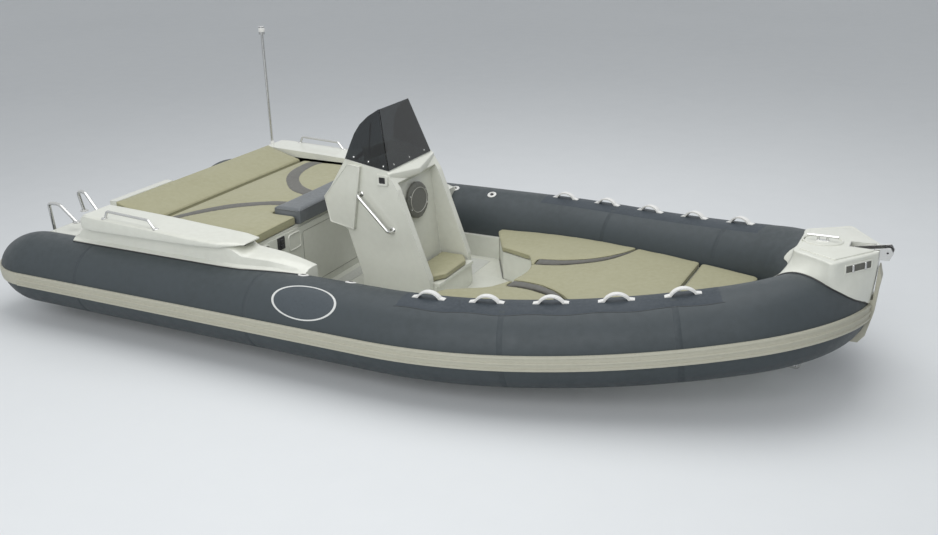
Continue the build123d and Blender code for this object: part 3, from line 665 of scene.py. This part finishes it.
main_pad = pad("sun_pad_main", "lounge_hatch", "cushion_tan", cell=0.014, swell=0.009,
               seams=edges_of(THIN_BAND) + edges_of(WIDE_BAND), welts=[((0, 0, 0.713), AXIS_Z)])
pad("sun_pad_aft", "boat", "cushion_tan", cell=0.013, swell=0.009, welts=[((-1.684, 0, 0.712), (0.296, 0, 1))])
pad_tree = tree_of(main_pad)
for word, band in (("thin", THIN_BAND), ("wide", WIDE_BAND)):
    # strips between the band's two edges are laid on the pad's top, with their rims sunk in
    bm = bmesh.new()
    grid = []
    for a, b in zip(*edges_of(band, 12)):
        row = []
        for k in range(ACROSS + 1):
            spot = a.lerp(b, k / ACROSS)
            hit = pad_tree.ray_cast(Vector((spot.x, spot.y, 2)), -AXIS_Z)[0]
            row.append(bm.verts.new(hit + AXIS_Z * (SUNK if k in (0, ACROSS) else PROUD) if hit else spot))
        grid.append(row)
    for r, s in zip(grid, grid[1:]):
        for k in range(ACROSS):
            bm.faces.new((r[k], r[k + 1], s[k + 1], s[k]))
    under = bmesh.ops.extrude_face_region(bm, geom=bm.faces[:])
    bmesh.ops.translate(bm, verts=[g for g in under["geom"] if isinstance(g, bmesh.types.BMVert)],
                        vec=(0, 0, -BAND_THICK))
    from_bmesh(f"sun_pad_{word}_band", bm, "cushion_grey", body="lounge_hatch")

# %% Backrest piping and studs
BACK_CENTRE, BACK_LEAN = Vector((-0.128, 0, 0.802)), 0.0906
BACK_NORMAL = Vector((math.cos(BACK_LEAN), 0, math.sin(BACK_LEAN)))
BACK_UP = Vector((-math.sin(BACK_LEAN), 0, math.cos(BACK_LEAN)))
BACK_TREE = tree_of(back)


def on_back(across, rise, lift):
    """A point on the front of the backrest, from its centre."""
    start = BACK_CENTRE + AXIS_Y * across + BACK_UP * rise + BACK_NORMAL * 0.2
    hit = BACK_TREE.ray_cast(start, -BACK_NORMAL)[0]
    return (hit or start - BACK_NORMAL * 0.2) + BACK_NORMAL * lift


line("backrest_piping", [ellipse(56, 0.104, 0.082, lambda u, v: on_back(u, v, 0.0012))], 0.0026, "cushion_grey",
     PIPING, closed=True)
discs("backrest_studs", "stainless",
      [(on_back(across, rise, -0.001), BACK_NORMAL) for across in (0.10148, -0.10148) for rise in (0.045, -0.045)],
      [(0.006, 0), (0.006, 0.002), (0.003, 0.004), (0, 0.0045)], 14)

# %% [markdown]
# ## Tubes
# The tubes are made of coated fabric, so they show lap seams, a doubled strip under the handles, and valves.
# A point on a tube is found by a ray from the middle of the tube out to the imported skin.

# %% Tube skin
TUBE_RADIUS = 0.2465
TUBE_Y = 1.0577             # the middle of a tube's straight run
BEND_X, BEND_START = 1.942, 2.17        # centre and start of the last arc, which closes the bow
BEND_RADIUS, BEND_ANGLE = 0.588, 67.2
BEND_Z, BEND_DROP = 0.485, 0.008 / 67   # height at the stem, and how it falls by the degree
BEND = [(BEND_X + BEND_RADIUS * math.cos(math.radians(t)), BEND_RADIUS * math.sin(math.radians(t)),
         BEND_Z - BEND_DROP * t) for t in (55, 43, 31, 20, 10, 0)]
AXIS = smooth_run([(x, TUBE_Y, 0.34) for x in (-2.56, -1.6, -0.7, 0.21)]
                  + [(0.63, 1.029, 0.344), (1.045, 0.944, 0.358), (1.615, 0.763, 0.412), (BEND_START, 0.542, 0.477)]
                  + BEND, 10)
AXIS_WAY = [AXIS[0].x]
for before, knot in zip(AXIS, AXIS[1:]):
    AXIS_WAY.append(knot.x if knot.x <= BEND_START else AXIS_WAY[-1] + (knot - before).length)
TUBE_TREE = skin_of("tube_port", "tube_starboard")


def axis_at(way, side):
    """Middle of a tube and its direction there. way is the station x, and past the last arc's start it goes on as
    the length along the bend; side is 1 to port, -1 to starboard."""
    for a, b, low, high in zip(AXIS, AXIS[1:], AXIS_WAY, AXIS_WAY[1:]):
        if low <= way <= high:
            p, run = a.lerp(b, (way - low) / (high - low)), (b - a).normalized()
            return Vector((p.x, side * p.y, p.z)), Vector((run.x, side * run.y, run.z))
    return None


def on_tube(way, degrees, side, lift=0.0):
    """Where a ray leaves a tube: 0 degrees is straight outboard, 90 the top, 180 inboard."""
    middle, run = axis_at(way, side)
    out = Vector((-run.y * side, run.x * side, 0)).normalized()
    rise = run.cross(out) * (1 if run.cross(out).z > 0 else -1)
    ray = out * math.cos(math.radians(degrees)) + rise * math.sin(math.radians(degrees))
    hit = TUBE_TREE.ray_cast(middle, ray)[0]
    return (hit or middle + ray * TUBE_RADIUS) + ray * lift


def tube_spot(way, degrees, side):
    return lambda lift: on_tube(way, degrees, side, lift)


def wrap(name, rows, slot_name, finish, thick, rim=-0.001, around=False):
    """A thin doubled layer on a tube, closed under its skin. rows hold functions of lift, and rim is the lift of the
    outline; around says that each row closes on itself."""
    def layer(middle, edge):
        return [[bm.verts.new(spot(middle if 0 < r < len(rows) - 1 and (around or 0 < c < len(row) - 1) else edge))
                 for c, spot in enumerate(row)] for r, row in enumerate(rows)]

    bm = bmesh.new()
    top, deep = layers = layer(thick, rim), layer(-0.005, -0.005)
    for grid in layers:
        for r, s in zip(grid, grid[1:]):
            for k in range(len(r) - 1):
                bm.faces.new((r[k], r[k + 1], s[k + 1], s[k]))
    for r in (0, -1):
        for k in range(len(top[0]) - 1):
            bm.faces.new((top[r][k], top[r][k + 1], deep[r][k + 1], deep[r][k]))
    for c in () if around else (0, -1):
        for k in range(len(top) - 1):
            bm.faces.new((top[k][c], top[k + 1][c], deep[k + 1][c], deep[k][c]))
    bmesh.ops.remove_doubles(bm, verts=bm.verts, dist=0.0001)
    return from_bmesh(name, bm, slot_name, finish)


# %% Lap seams, handle strips and valves
LAP = surface("lap fabric", (0.045, 0.055, 0.061), (0.036, 0.044, 0.047), 0.5, 0.5, 3, balance=0.3, bump=0.0005,
              **FABRIC)
STRIP = surface("doubling fabric", (0.042, 0.053, 0.064), (0.034, 0.042, 0.050), 0.5, 0.5, 4, balance=0.3,
                bump=0.0005, **FABRIC)
DARK_LINE = surface("dark line", (0.018, 0.020, 0.022), (0.03, 0.032, 0.034), 0.5, patches=20, **SLIM)
STRIP_START, STRIP_LENGTH, SCALLOP = 0.36, 1.74, 0.347      # stations, and the length of one wave of its edge
stations = [STRIP_START + STRIP_LENGTH * k / 110 for k in range(111)]


def wave(x):
    """How many degrees the outboard edge of the handle strip swings at a station."""
    return 1.3 * math.sin((x - STRIP_START) * 2 * math.pi / SCALLOP)


for side, word in SIDES:
    for number, x in enumerate((-2.02, -0.62, 0.98, 1.86)):
        # the lap goes round from the foot of the strake on one side to the deck on the other
        wrap(f"lap_seam_{word}_{number + 1}", [[tube_spot(x + dx, -60 + 5 * k, side) for k in range(47)]
                                               for dx in (-0.018, -0.015, 0.015, 0.018)], "tube_fabric", LAP, 0.0007)
    rows = [[tube_spot(x, d, side) for d in (64 + wave(x), 65 + wave(x), 74, 84, 94, 104, 114, 115)] for x in stations]
    wrap("handle_strip_" + word, rows, "tube_fabric", STRIP, 0.0012)
    line("handle_strip_edge_" + word, [[on_tube(x, 63.4 + wave(x), side, 0.0002) for x in stations]], 0.0013,
         "tube_fabric", DARK_LINE)
    seats = []
    for x, degrees in ((-0.37, 104), (-0.044, 110)):
        spot = on_tube(x, degrees, side)
        seats.append((spot, (spot - axis_at(x, side)[0]).normalized()))
    discs("valve_rims_" + word, "handle_white", [(spot - out * 0.002, out) for spot, out in seats],
          [(0.034, 0), (0.034, 0.004), (0.030, 0.0065), (0.022, 0.0075), (0.021, 0.004), (0.020, 0.0035), (0, 0.0035)],
          40)
    discs("valve_caps_" + word, "black_plastic", [(spot + out * 0.0012, out) for spot, out in seats],
          [(0.013, 0), (0.013, 0.004), (0.011, 0.0065), (0.004, 0.0065), (0, 0.0058)], 24)

# %% [markdown]
# Each tube has an oval badge place on its shoulder. It stays bare: a pale ring of flat tape round a plain field.

# %% Oval badge places
RING_TAPE = surface("pale tape", (0.62, 0.63, 0.61), (0.48, 0.49, 0.47), 0.45, patches=9, cells=700, bump=0.0003,
                    edge=0.0, wear=0.2)
FIELD = surface("plain field", (0.062, 0.075, 0.085), (0.05, 0.06, 0.067), 0.45, 0.5, 5, **{**FABRIC, "wear": 0.1})
OVAL_X, OVAL_DEGREES = -0.216, 46.5
OVAL_HALF_LONG, OVAL_HALF_TURN = 0.227, 26.6


def oval(share, side):
    """A closed row of spots round a badge place, at a share of its size."""
    row = ellipse(72, OVAL_HALF_LONG * share, OVAL_HALF_TURN * share,
                  lambda x, turn: tube_spot(OVAL_X + x, OVAL_DEGREES + turn, side))
    return row + row[:1]


for side, word in SIDES:
    wrap("oval_ring_" + word, [oval(share, side) for share in (1.0, 0.992, 0.93, 0.922)], "handle_white", RING_TAPE,
         0.0014, around=True)
    wrap("oval_field_" + word, [oval(share, side) for share in (0.925, 0.915, 0.6, 0.3, 0.0)], "tube_fabric", FIELD,
         0.0008, rim=0.0004, around=True)
print("tube trim on both sides")

# %% [markdown]
# ## Side mouldings
# The mouldings beside the sun pad are lofted from stations along the boat. Each station is one outline of the
# section, from the inner wall over the wing and down its outer face to the flange on the tube. The wing overhangs
# the wall, grows thinner forward and ends in a point; ahead of it the wall runs down in a low hump.

# %% Side mouldings
WALL_TOP = [(-2.200, 0.604), (-2.130, 0.675), (-2.062, 0.735), (-0.880, 0.722), (-0.790, 0.672), (-0.600, 0.655),
            (-0.470, 0.632), (-0.345, 0.600)]
WALL_OUT = [(-2.200, 1.072), (-0.935, 1.074), (-0.780, 1.066), (-0.345, 0.975)]
WALL_START, WALL_LENGTH = -2.198, 1.84
WALL_STATIONS = (WALL_START, -2.16, -2.10, -2.06, -1.9, -1.6, -1.3, -1.0, -0.9, -0.84, -0.79, -0.72, -0.60, -0.50,
                 -0.42, -0.36)
WING_START = -2.075
WING_STATIONS = (WING_START, -2.05, -1.96, -1.75, -1.50, -1.15, -1.03, -0.93, -0.88, -0.82, -0.79)
WING_TOP = [(WING_START, 0.796), (-1.960, 0.794), (-1.50, 0.776), (-0.880, 0.742), (-0.790, 0.726)]
WING_LOW = [(WING_START, 0.690), (-0.880, 0.706), (-0.790, 0.716)]
WING_OUT = [(WING_START, 1.112), (-1.960, 1.127), (-1.150, 1.127), (-0.930, 1.108), (-0.790, 1.02)]
INNER = 0.8645              # the wall's inner face, beside the sun pad


def along(table, x):
    """Read a table of (x, value) pairs by straight runs."""
    for (x0, a), (x1, b) in zip(table, table[1:]):
        if x0 <= x <= x1:
            return a + (b - a) * (x - x0) / (x1 - x0)
    return table[0][1] if x < table[0][0] else table[-1][1]


def shoulder(x, y, side, lift=0.0):
    """The top of a tube at a station and that far from the middle of the boat."""
    share = max(-1, min(1, (y - TUBE_Y) / TUBE_RADIUS))
    return on_tube(x, math.degrees(math.acos(share)), side, lift)


def wall_section(x, side):
    out = along(WALL_OUT, x)
    foot = shoulder(x, out, side).z - 0.012
    rim = foot + 0.026
    top, inner = max(along(WALL_TOP, x), rim + 0.006), min(INNER, out - 0.05)
    return [(inner, 0.50), (inner, top), (inner + 0.3 * (out - inner), top + 0.002), (out - 0.022, top),
            (out - 0.006, top - 0.010), (out, rim + 0.010), (out + 0.012, rim), (out + 0.018, rim - 0.004),
            (out + 0.018, foot)]


def wing_section(x):
    top, low, out = along(WING_TOP, x) - (0.02 if x == WING_START else 0), along(WING_LOW, x), along(WING_OUT, x)
    return [(INNER, low), (INNER, top), (out - 0.030, top), (out - 0.012, top - 0.002), (out - 0.002, top - 0.010),
            (out, (top + low) / 2), (out - 0.006, low + 0.006), (out - 0.02, low)]


def lofted(name, sections, side, soft):
    """A skin through closed sections, each with its station, with flat ends and rounded edges."""
    bm = bmesh.new()
    rings = [[bm.verts.new((x, side * y, z)) for y, z in section] for x, section in sections]
    for a, b in zip(rings, rings[1:]):
        belt(bm, a, b)
    bm.faces.new(rings[0])
    bm.faces.new(list(reversed(rings[-1])))
    soften(bm, [e for e in bm.edges if e.is_manifold and e.calc_face_angle(0) > 0.5], soft)
    return from_bmesh(name, bm, "gelcoat_white")


for side, word in SIDES:
    wall = lofted("side_wall_" + word, [(x, wall_section(x, side)) for x in WALL_STATIONS], side, 0.006)
    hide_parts("side_moulding_" + word)
    lofted("side_wing_" + word, [(x, wing_section(x)) for x in WING_STATIONS], side, 0.004)
    # a dark gasket lies where the flange meets the tube
    foot = [shoulder(x, along(WALL_OUT, x) + 0.0195, side, 0.001)
            for x in (WALL_START + WALL_LENGTH * k / 59 for k in range(60))]
    line("side_gasket_" + word, [foot], 0.0045, "black_plastic")
    discs("side_rail_feet_" + word, "stainless",
          [((x, side * 1.098, along(WING_TOP, x) - 0.002), AXIS_Z) for x in (-1.867, -1.429)],
          [(0.021, 0), (0.021, 0.003), (0.017, 0.006), (0.010, 0.007), (0, 0.007)])
print("side mouldings lofted")

# %% [markdown]
# ## Console
# The console carries the small things that make it read as real: bright lips on the cheeks, a framed vent,
# gauges on the dash, a throttle, and bolts and stays for the screen.

# %% Console trim
CONSOLE_TREE = skin_of("console", "console_cheeks")
VENT = Vector((-0.203, -0.2995, 1.008))


def on_console(start, ray):
    """Where a ray meets the console."""
    return CONSOLE_TREE.ray_cast(Vector(start), Vector(ray))[0]


def leaning(angle):
    """A turn about the crosswise axis."""
    return Euler((0, angle, 0)).to_matrix()


bm = bmesh.new()
rings = [[bm.verts.new(VENT + Vector((x, -rise, z))) for x, z in rounded_corners(wide, high, corner, 7, 15)]
         for wide, high, corner, rise in ((0.044, 0.038, 0.014, 0), (0.042, 0.036, 0.014, 0.0105),
                                          (0.023, 0.021, 0.005, 0.0105), (0.021, 0.019, 0.005, 0))]
for k in range(4):
    belt(bm, rings[k - 1], rings[k])
from_bmesh("vent_frame", bm, "gelcoat_white")
boxes("vent_louvres", "black_plastic", [((VENT.x, -0.3085, 0.995 + 0.0087 * k), (0.038, 0.003, 0.0045),
                                         Euler((0.5, 0, 0)).to_matrix(), 0.001, 2) for k in range(4)])

# %% Edge lips of the cheeks
for side, word in SIDES:
    bm = opened(NODES["console_cheeks"].data)
    bmesh.ops.delete(bm, geom=[v for v in bm.verts if v.co.y * side < 0], context="VERTS")
    bmesh.ops.remove_doubles(bm, verts=bm.verts, dist=0.00001)
    outer = max(v.co.y * side for v in bm.verts) - 0.0008
    bmesh.ops.dissolve_limit(bm, angle_limit=0.02, verts=bm.verts, edges=bm.edges)
    runs = chains(bm, {e for e in bm.edges if all(v.co.y * side > outer for v in e.verts)
                       and any(f.normal.y * side < 0.7 for f in e.link_faces)})
    bm.free()
    print("cheek outline runs", word, [len(run) for run in runs])
    runs = [run for run in runs if len(run) > 3]
    if runs:
        line("cheek_lip_" + word, runs, 0.0045, "gelcoat_white", closed=True, sides=3)

# %% Dash: gauges and throttle
PALE_DIAL = surface("dial face", (0.35, 0.36, 0.35), (0.24, 0.25, 0.24), 0.35, 0.3, 30, 700, bump=0.0001,
                    edge=0.001, wear=0.1)
bezels, dials, hubs = bmesh.new(), bmesh.new(), bmesh.new()
for across, size in ((0.165, 0.042), (0.06, 0.034), (-0.06, 0.034), (-0.165, 0.042)):
    spot, under = (on_console((-0.9, across, z), (1, 0, 0)) for z in (1.02, 1.00))
    if not spot or not under:
        continue
    slope = spot - under
    normal = Vector((-slope.z, 0, slope.x)).normalized()
    disc(bezels, spot - normal * 0.002, normal, [(size, 0), (size, 0.005), (size - 0.003, 0.008),
         (size - 0.007, 0.008), (size - 0.008, 0.004), (0, 0.004)], 40)
    disc(dials, spot + normal * 0.0015, normal, [(size - 0.0085, 0), (size - 0.0085, 0.0012), (0, 0.0012)], 40)
    disc(hubs, spot + normal * 0.0025, normal, [(0.005, 0), (0.005, 0.002), (0.003, 0.003), (0, 0.003)], 16)
from_bmesh("gauge_bezels", bezels, "black_plastic")
from_bmesh("gauge_dials", dials, "handle_white", PALE_DIAL)
from_bmesh("gauge_hubs", hubs, "black_plastic")
spot = on_console((-0.55, -0.24, 1.3), (0, 0, -1))
if spot:
    boxes("throttle_box", "black_plastic", [(spot + Vector((0, 0, 0.018)), (0.085, 0.06, 0.05), None, 0.010, 4)])
    boxes("throttle_lever", "stainless", [
        (spot + Vector((0.010, -0.034, 0.058)), (0.022, 0.014, 0.13), leaning(0.25), 0.005, 3),
        (spot + Vector((0.027, -0.020, 0.122)), (0.026, 0.052, 0.026), leaning(0.25), 0.010, 4)])

# %% Brow under the screen
BROW = [(-0.178, -0.2985), (-0.150, -0.2985), (-0.094, 0.0), (-0.150, 0.2985), (-0.178, 0.2985)]
BROW_TOP, BROW_FOOT, BROW_KNEE, BROW_SLOPE = 1.064, 0.985, -0.168, 0.494
bm = bmesh.new()
prism(bm, BROW, lambda x: BROW_TOP - BROW_SLOPE * max(0.0, x - BROW_KNEE), lambda x: BROW_FOOT)
soften(bm, [e for e in bm.edges if e.calc_length() > 0.01], 0.006)
from_bmesh("console_brow", bm, "gelcoat_white")

# %% Screen: bolts, stays and the instrument under it
screen_tree = skin_of("windscreen")
rays = [(Vector((-0.47, side * 0.303, 1.150)).lerp(Vector((-0.19, side * 0.285, 1.088)), share)
         + Vector((0.02, side * 0.3, 0)), Vector((0, -side, 0))) for side, _ in SIDES for share in (0.12, 0.5, 0.88)]
rays += [(Vector((0.3, across, 1.092)), Vector((-1, 0, 0))) for across in (-0.2, 0, 0.2)]
hits = [(*screen_tree.ray_cast(start, ray)[:2], ray) for start, ray in rays]
discs("screen_bolts", "stainless", [(hit - normal * 0.001, normal if normal.dot(ray) < 0 else -normal)
                                    for hit, normal, ray in hits if hit],
      [(0.006, 0), (0.006, 0.0015), (0.004, 0.003), (0, 0.0033)], 16)
for side, word in SIDES:
    line("screen_stay_" + word, [[(-0.33, side * 0.20, 1.350), (-0.345, side * 0.205, 1.225),
                                  (-0.36, side * 0.21, 1.095)]], 0.005, "stainless")
boxes("instrument_pod", "gelcoat_white", [((-0.40, -0.05, 1.135), (0.085, 0.20, 0.085), leaning(-0.15), 0.014, 4)])
boxes("instrument_screen", "black_plastic", [((-0.444, -0.05, 1.140), (0.008, 0.165, 0.060), leaning(-0.15), 0.003,
                                              3)])

# %% Rail feet
feet = [(on_console((x, side * 0.6, z), (0, -side, 0)), AXIS_Y * side)
        for side, _ in SIDES for x, z in ((-0.376, 0.897), (-0.148, 0.676))]
discs("console_rail_feet", "stainless", [(hit - out * 0.002, out) for hit, out in feet if hit],
      [(0.020, 0), (0.020, 0.004), (0.016, 0.007), (0, 0.008)])
print("console trim done")

# %% [markdown]
# ## Lounge front, stern and bow
# The locker under the sun pad has a door outline, a pocket and a switch panel in its front. The stern has
# platforms and hoops. The nose is a table with a raised edge over sides that run down onto the tubes.

# %% Lounge front
FRONT = -0.845
SOFT_LINE = surface("soft line", (0.20, 0.20, 0.17), (0.15, 0.15, 0.13), 0.5, patches=20, **SLIM)
SHADOW = surface("pocket shadow", (0.12, 0.12, 0.105), (0.07, 0.07, 0.06), 0.6, 0.5, 14, bump=0.0005, wear=0.1)


def outline_on(x, y0, y1, z0, z1, corner=0.02):
    """A rounded rectangle on a crosswise wall, as a closed run of points."""
    return [(x, (y0 + y1) / 2 + y, (z0 + z1) / 2 + z)
            for y, z in rounded_corners((y1 - y0) / 2, (z1 - z0) / 2, corner, 6, 18)]


line("lounge_door_frame", [outline_on(FRONT + 0.002, -0.50, -0.37, 0.50, 0.61)], 0.005, "gelcoat_white",
     closed=True, sides=3)
line("lounge_door_gaps", [outline_on(FRONT + 0.0005, -0.34, 0.34, 0.19, 0.59)], 0.0015, "black_plastic", SOFT_LINE,
     closed=True, sides=2)
line("lounge_pocket_rim", [outline_on(FRONT + 0.002, -0.845, -0.70, 0.47, 0.62, 0.04)], 0.007, "gelcoat_white",
     closed=True)
boxes("lounge_pocket", "black_plastic", [((FRONT + 0.0005, -0.7725, 0.545), (0.003, 0.13, 0.135), None, 0.001, 1)],
      SHADOW)
boxes("lounge_switches", "black_plastic", [((FRONT + 0.004, -0.585, 0.585), (0.010, 0.072, 0.085), None, 0.003, 3)] + [
    ((FRONT + 0.011, -0.585, z), (0.010, 0.030, 0.026), leaning(0.25), 0.003, 3) for z in (0.565, 0.603)])

# %% Stern
PLATFORM_DROP = 0.10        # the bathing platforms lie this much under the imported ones
HOOPS = [[(-2.700, -0.800, 0.437), (-2.724, -0.800, 0.712), (-2.618, -0.800, 0.716), (-2.470, -0.800, 0.597)],
         [(-2.630, -0.575, 0.597), (-2.668, -0.575, 0.742), (-2.598, -0.575, 0.748), (-2.480, -0.575, 0.597)]]
POLE_X, POLE_Y = -2.080, 1.0


def bent(points, radius=0.035, steps=5):
    """A rod's line through corners, each rounded by a small arc."""
    points = [Vector(p) for p in points]
    out = [points[0]]
    for a, b, c in zip(points, points[1:], points[2:]):
        start, end = b + (a - b).normalized() * radius, b + (c - b).normalized() * radius
        for k in range(steps + 1):
            t = k / steps
            out.append(start.lerp(b, t).lerp(b.lerp(end, t), t))
    return out + [points[-1]]


for side, word in SIDES:
    bm = opened(NODES["swim_platform_" + word].data)
    bmesh.ops.translate(bm, verts=bm.verts, vec=(0, 0, -PLATFORM_DROP))
    platform = from_bmesh("bathing_platform_" + word, bm, "gelcoat_white")
    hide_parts("swim_platform_" + word)
hoops = line("hoop_rods", [bent(run) for run in HOOPS], 0.0125, "stainless", sides=6)
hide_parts("boarding_hoops")
discs("hoop_feet", "stainless", [((x, y, z + 0.001), AXIS_Z) for run in HOOPS for x, y, z in (run[0], run[-1])],
      [(0.030, 0), (0.030, 0.004), (0.024, 0.008), (0.016, 0.009), (0, 0.009)])
bm = bmesh.new()
disc(bm, (POLE_X, POLE_Y, 0.748), AXIS_Z, [(0.034, 0), (0.034, 0.006), (0.026, 0.012), (0.018, 0.030),
                                           (0.0165, 0.06), (0, 0.06)], 32)
disc(bm, (POLE_X, POLE_Y, 1.700), AXIS_Z, [(0.0235, 0), (0.0255, 0.006), (0.0255, 0.030), (0.020, 0.038),
                                           (0, 0.040)], 32)
from_bmesh("light_pole_fittings", bm, "handle_white")

# %% [markdown]
# Wet decks have raised non-slip patches. Their grit is in the material; the patch itself is a thin sheet
# with a soft rim.

# %% Non-slip patches
TREAD = surface("non-slip gelcoat", (0.55, 0.56, 0.52), (0.38, 0.39, 0.35), 0.6, 0.5, 4, 170, 400, 0.1, 0.0022,
                edge=0.002, wear=0.3)
DECK_TREE = skin_of("cockpit_liner", "bow_deck", "swim_platform_port", "swim_platform_starboard", "stern_deck")


def tread(name, outline, probe, drop=0.0):
    """A thin patch over a plan outline, at the height of the deck under the probe."""
    deck = DECK_TREE.ray_cast(Vector(probe), -AXIS_Z)[0]
    if deck:
        bm = bmesh.new()
        slab(bm, outline, deck.z - drop + 0.0025, 0.0045, 0.0012, 2)
        from_bmesh(name, bm, "gelcoat_white", TREAD)


for side, word in SIDES:
    tread("cockpit_tread_" + word, [(x, side * y) for x, y in ((-0.78, 0.36), (0.06, 0.36), (0.06, 0.72),
                                                               (-0.78, 0.76))], (-0.3, side * 0.55, 0.5))
    tread("platform_tread_" + word, [(x, side * y) for x, y in ((-2.83, 0.37), (-2.67, 0.37), (-2.67, 0.70),
                                                                (-2.83, 0.70))], (-2.75, side * 0.5, 0.7),
          PLATFORM_DROP)
tread("helm_tread", [(-0.79, -0.30), (-0.69, -0.30), (-0.69, 0.30), (-0.79, 0.30)], (-0.74, 0, 0.5))

# %% [markdown]
# The nose is skinned from its rim down to a lip that lies on the tubes. The wall stands at the rim and flares out
# as it comes down, and a channel for the anchor bracket is left open at the tip.

# %% Nose
NOSE_TOP = 0.847
NOSE_CENTRE = Vector((2.56, 0, NOSE_TOP))
RIM = [(2.369, 0.0), (2.369, 0.10), (2.369, 0.195), (2.455, 0.254), (2.530, 0.301), (2.600, 0.341), (2.665, 0.255),
       (2.730, 0.165), (2.768, 0.111), (2.795, 0.074)]
# the lip: degrees round the bend from the stem, and degrees round the tube
LIP = [(0, 150), (22, 143), (34, 140), (31.5, 110), (29.5, 83), (26.5, 60), (21.5, 45), (16, 33), (9.5, 23),
       (5.5, 16)]
TIP_X, CHANNEL_X, CHANNEL_Y, CHANNEL_Z = 2.797, 2.640, 0.045, 0.789


def lip_point(bend, degrees, lift):
    return on_tube(BEND_START + BEND_RADIUS * math.radians(BEND_ANGLE - bend), degrees, 1, lift)


def wall_column(top, foot, edge):
    """Points from the rim down to the lip: upright at first, then flared, then over the lip's edge."""
    rows = [Vector((top.x, top.y, NOSE_TOP))]
    for share in (0.10, 0.28, 0.5, 0.7, 0.86, 0.96, 1.0):
        flare = share ** 1.9
        rows.append(Vector((top.x + (foot.x - top.x) * flare, top.y + (foot.y - top.y) * flare,
                            NOSE_TOP + (foot.z - NOSE_TOP) * share)))
    return rows + [edge]


turns = smooth_run([(bend, degrees, 0) for bend, degrees in LIP], 5)
columns = [wall_column(top, lip_point(turn.x, turn.y, 0.008), lip_point(turn.x, turn.y, -0.004))
           for top, turn in zip(smooth_run([(x, y, 0) for x, y in RIM], 5), turns)]
tip = lip_point(3.8, 13, 0.008)
for x, y in ((TIP_X, CHANNEL_Y), (CHANNEL_X, CHANNEL_Y), (CHANNEL_X, 0.0)):
    column = wall_column(Vector((TIP_X, y, 0)), Vector((tip.x, y, tip.z)), Vector((tip.x - 0.01, y, tip.z - 0.01)))
    column[0] = Vector((x, y, NOSE_TOP))
    column[1], column[2] = Vector((x, y, CHANNEL_Z)), Vector((TIP_X, y, CHANNEL_Z))
    columns.append(column)
for column in columns:
    # the crown: a little above the rim and inside it, save in the channel
    inward = 0.006 if column[0].y > 0.05 or column[0].x < 2.5 else 0.0
    column.insert(0, column[0] + (NOSE_CENTRE - column[0]).normalized() * inward + AXIS_Z * 0.006)
bm = bmesh.new()
verts = [[bm.verts.new(p) for p in column]
         for column in columns + [mirrored(column) for column in reversed(columns[1:-1])]]
for k, column in enumerate(verts):
    after = verts[(k + 1) % len(verts)]
    for r in range(len(column) - 1):
        bm.faces.new((column[r], after[r], after[r + 1], column[r + 1]))
bm.faces.new([column[0] for column in verts])
bm.faces.new([column[-1] for column in reversed(verts)])
bmesh.ops.remove_doubles(bm, verts=bm.verts, dist=0.0002)
bmesh.ops.dissolve_degenerate(bm, edges=bm.edges, dist=0.0001)
bmesh.ops.triangulate(bm, faces=[f for f in bm.faces if len(f.verts) > 12])
nose = from_bmesh("nose_shell", bm, "gelcoat_white")
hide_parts("bow_nose")
# The black rod along the lip, where it lies on the tubes, is painted shadow for the gap under the lip.
lip_shadow_line = [lip_point(turn.x, turn.y, 0.001) for turn in turns[10:]]
line("nose_lip_shadow_line", [lip_shadow_line, mirrored(lip_shadow_line)], 0.006, "black_plastic")

# %% Nose table, well ring and fairlead posts
half_table = [(2.392, 0.172), (2.598, 0.286), (2.768, 0.068), (2.768, 0.047), (2.636, 0.047)]
bm = bmesh.new()
slab(bm, half_table + [(x, -y) for x, y in reversed(half_table)], 0.8590, 0.0085, 0.0045, 3)
from_bmesh("nose_table", bm, "gelcoat_white")
NOSE_TREE = tree_of(nose)
for side, word in SIDES:
    run = Vector((0.199, -0.265 * side, 0)).normalized()
    out = Vector((0.265, 0.199 * side, 0)).normalized()
    hit, normal = NOSE_TREE.ray_cast(Vector((2.706, 0.190 * side, 0.800)) + out * 0.4, -out)[:2]
    if not hit:
        continue
    turn = Matrix((run, normal.cross(run), normal)).transposed()

    def fairlead(part, slot_name, rows, soft, segments, finish=None):
        """Boxes on the nose's side: their place along, across and out of it, and their size."""
        boxes(f"fairlead_{part}_{word}", slot_name, [(hit + turn @ Vector(place), size, turn, soft, segments)
                                                     for place, size in rows], finish)

    fairlead("slot", "black_plastic", [((0, 0, 0.0005), (0.182, 0.040, 0.004))], 0.0015, 2, SHADOW)
    fairlead("rim", "gelcoat_white", [((0, 0.0235, 0.001), (0.20, 0.009, 0.010)),
                                      ((0, -0.0235, 0.001), (0.20, 0.009, 0.010)),
                                      ((0.096, 0, 0.001), (0.009, 0.052, 0.010)),
                                      ((-0.096, 0, 0.001), (0.009, 0.052, 0.010))], 0.003, 3)
    fairlead("posts", "stainless", [((-0.045, 0, 0.006), (0.014, 0.044, 0.014)),
                                    ((0.045, 0, 0.006), (0.014, 0.044, 0.014))], 0.006, 4)
line("cleat_well_ring", [ellipse(64, 0.108, 0.085, lambda u, v: (2.490 + u, v, 0.8595))], 0.0055, "gelcoat_white",
     closed=True)
print("lounge, stern and bow trim done")

# %% [markdown]
# ## Floor
# The floor stands for still water. It is wide and pale, and only keeps the boat's shadow.

# %% Floor
floor_mesh = bpy.data.meshes.new("floor")
bm = bmesh.new()
bmesh.ops.create_grid(bm, x_segments=1, y_segments=1, size=60)
bm.to_mesh(floor_mesh)
bm.free()
floor = linked("floor", floor_mesh)
floor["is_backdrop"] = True
floor_mesh.materials.append(surface("pale floor", (0.72, 0.74, 0.75), (0.69, 0.71, 0.72), 0.6, 0.3, 0.3, 30, 2,
                                    bump=0.0005, wear=0))

# %% Size and finish
size = {"cad": CAD_BOX, "visual": [list(corner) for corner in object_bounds()]}
print("size", size)
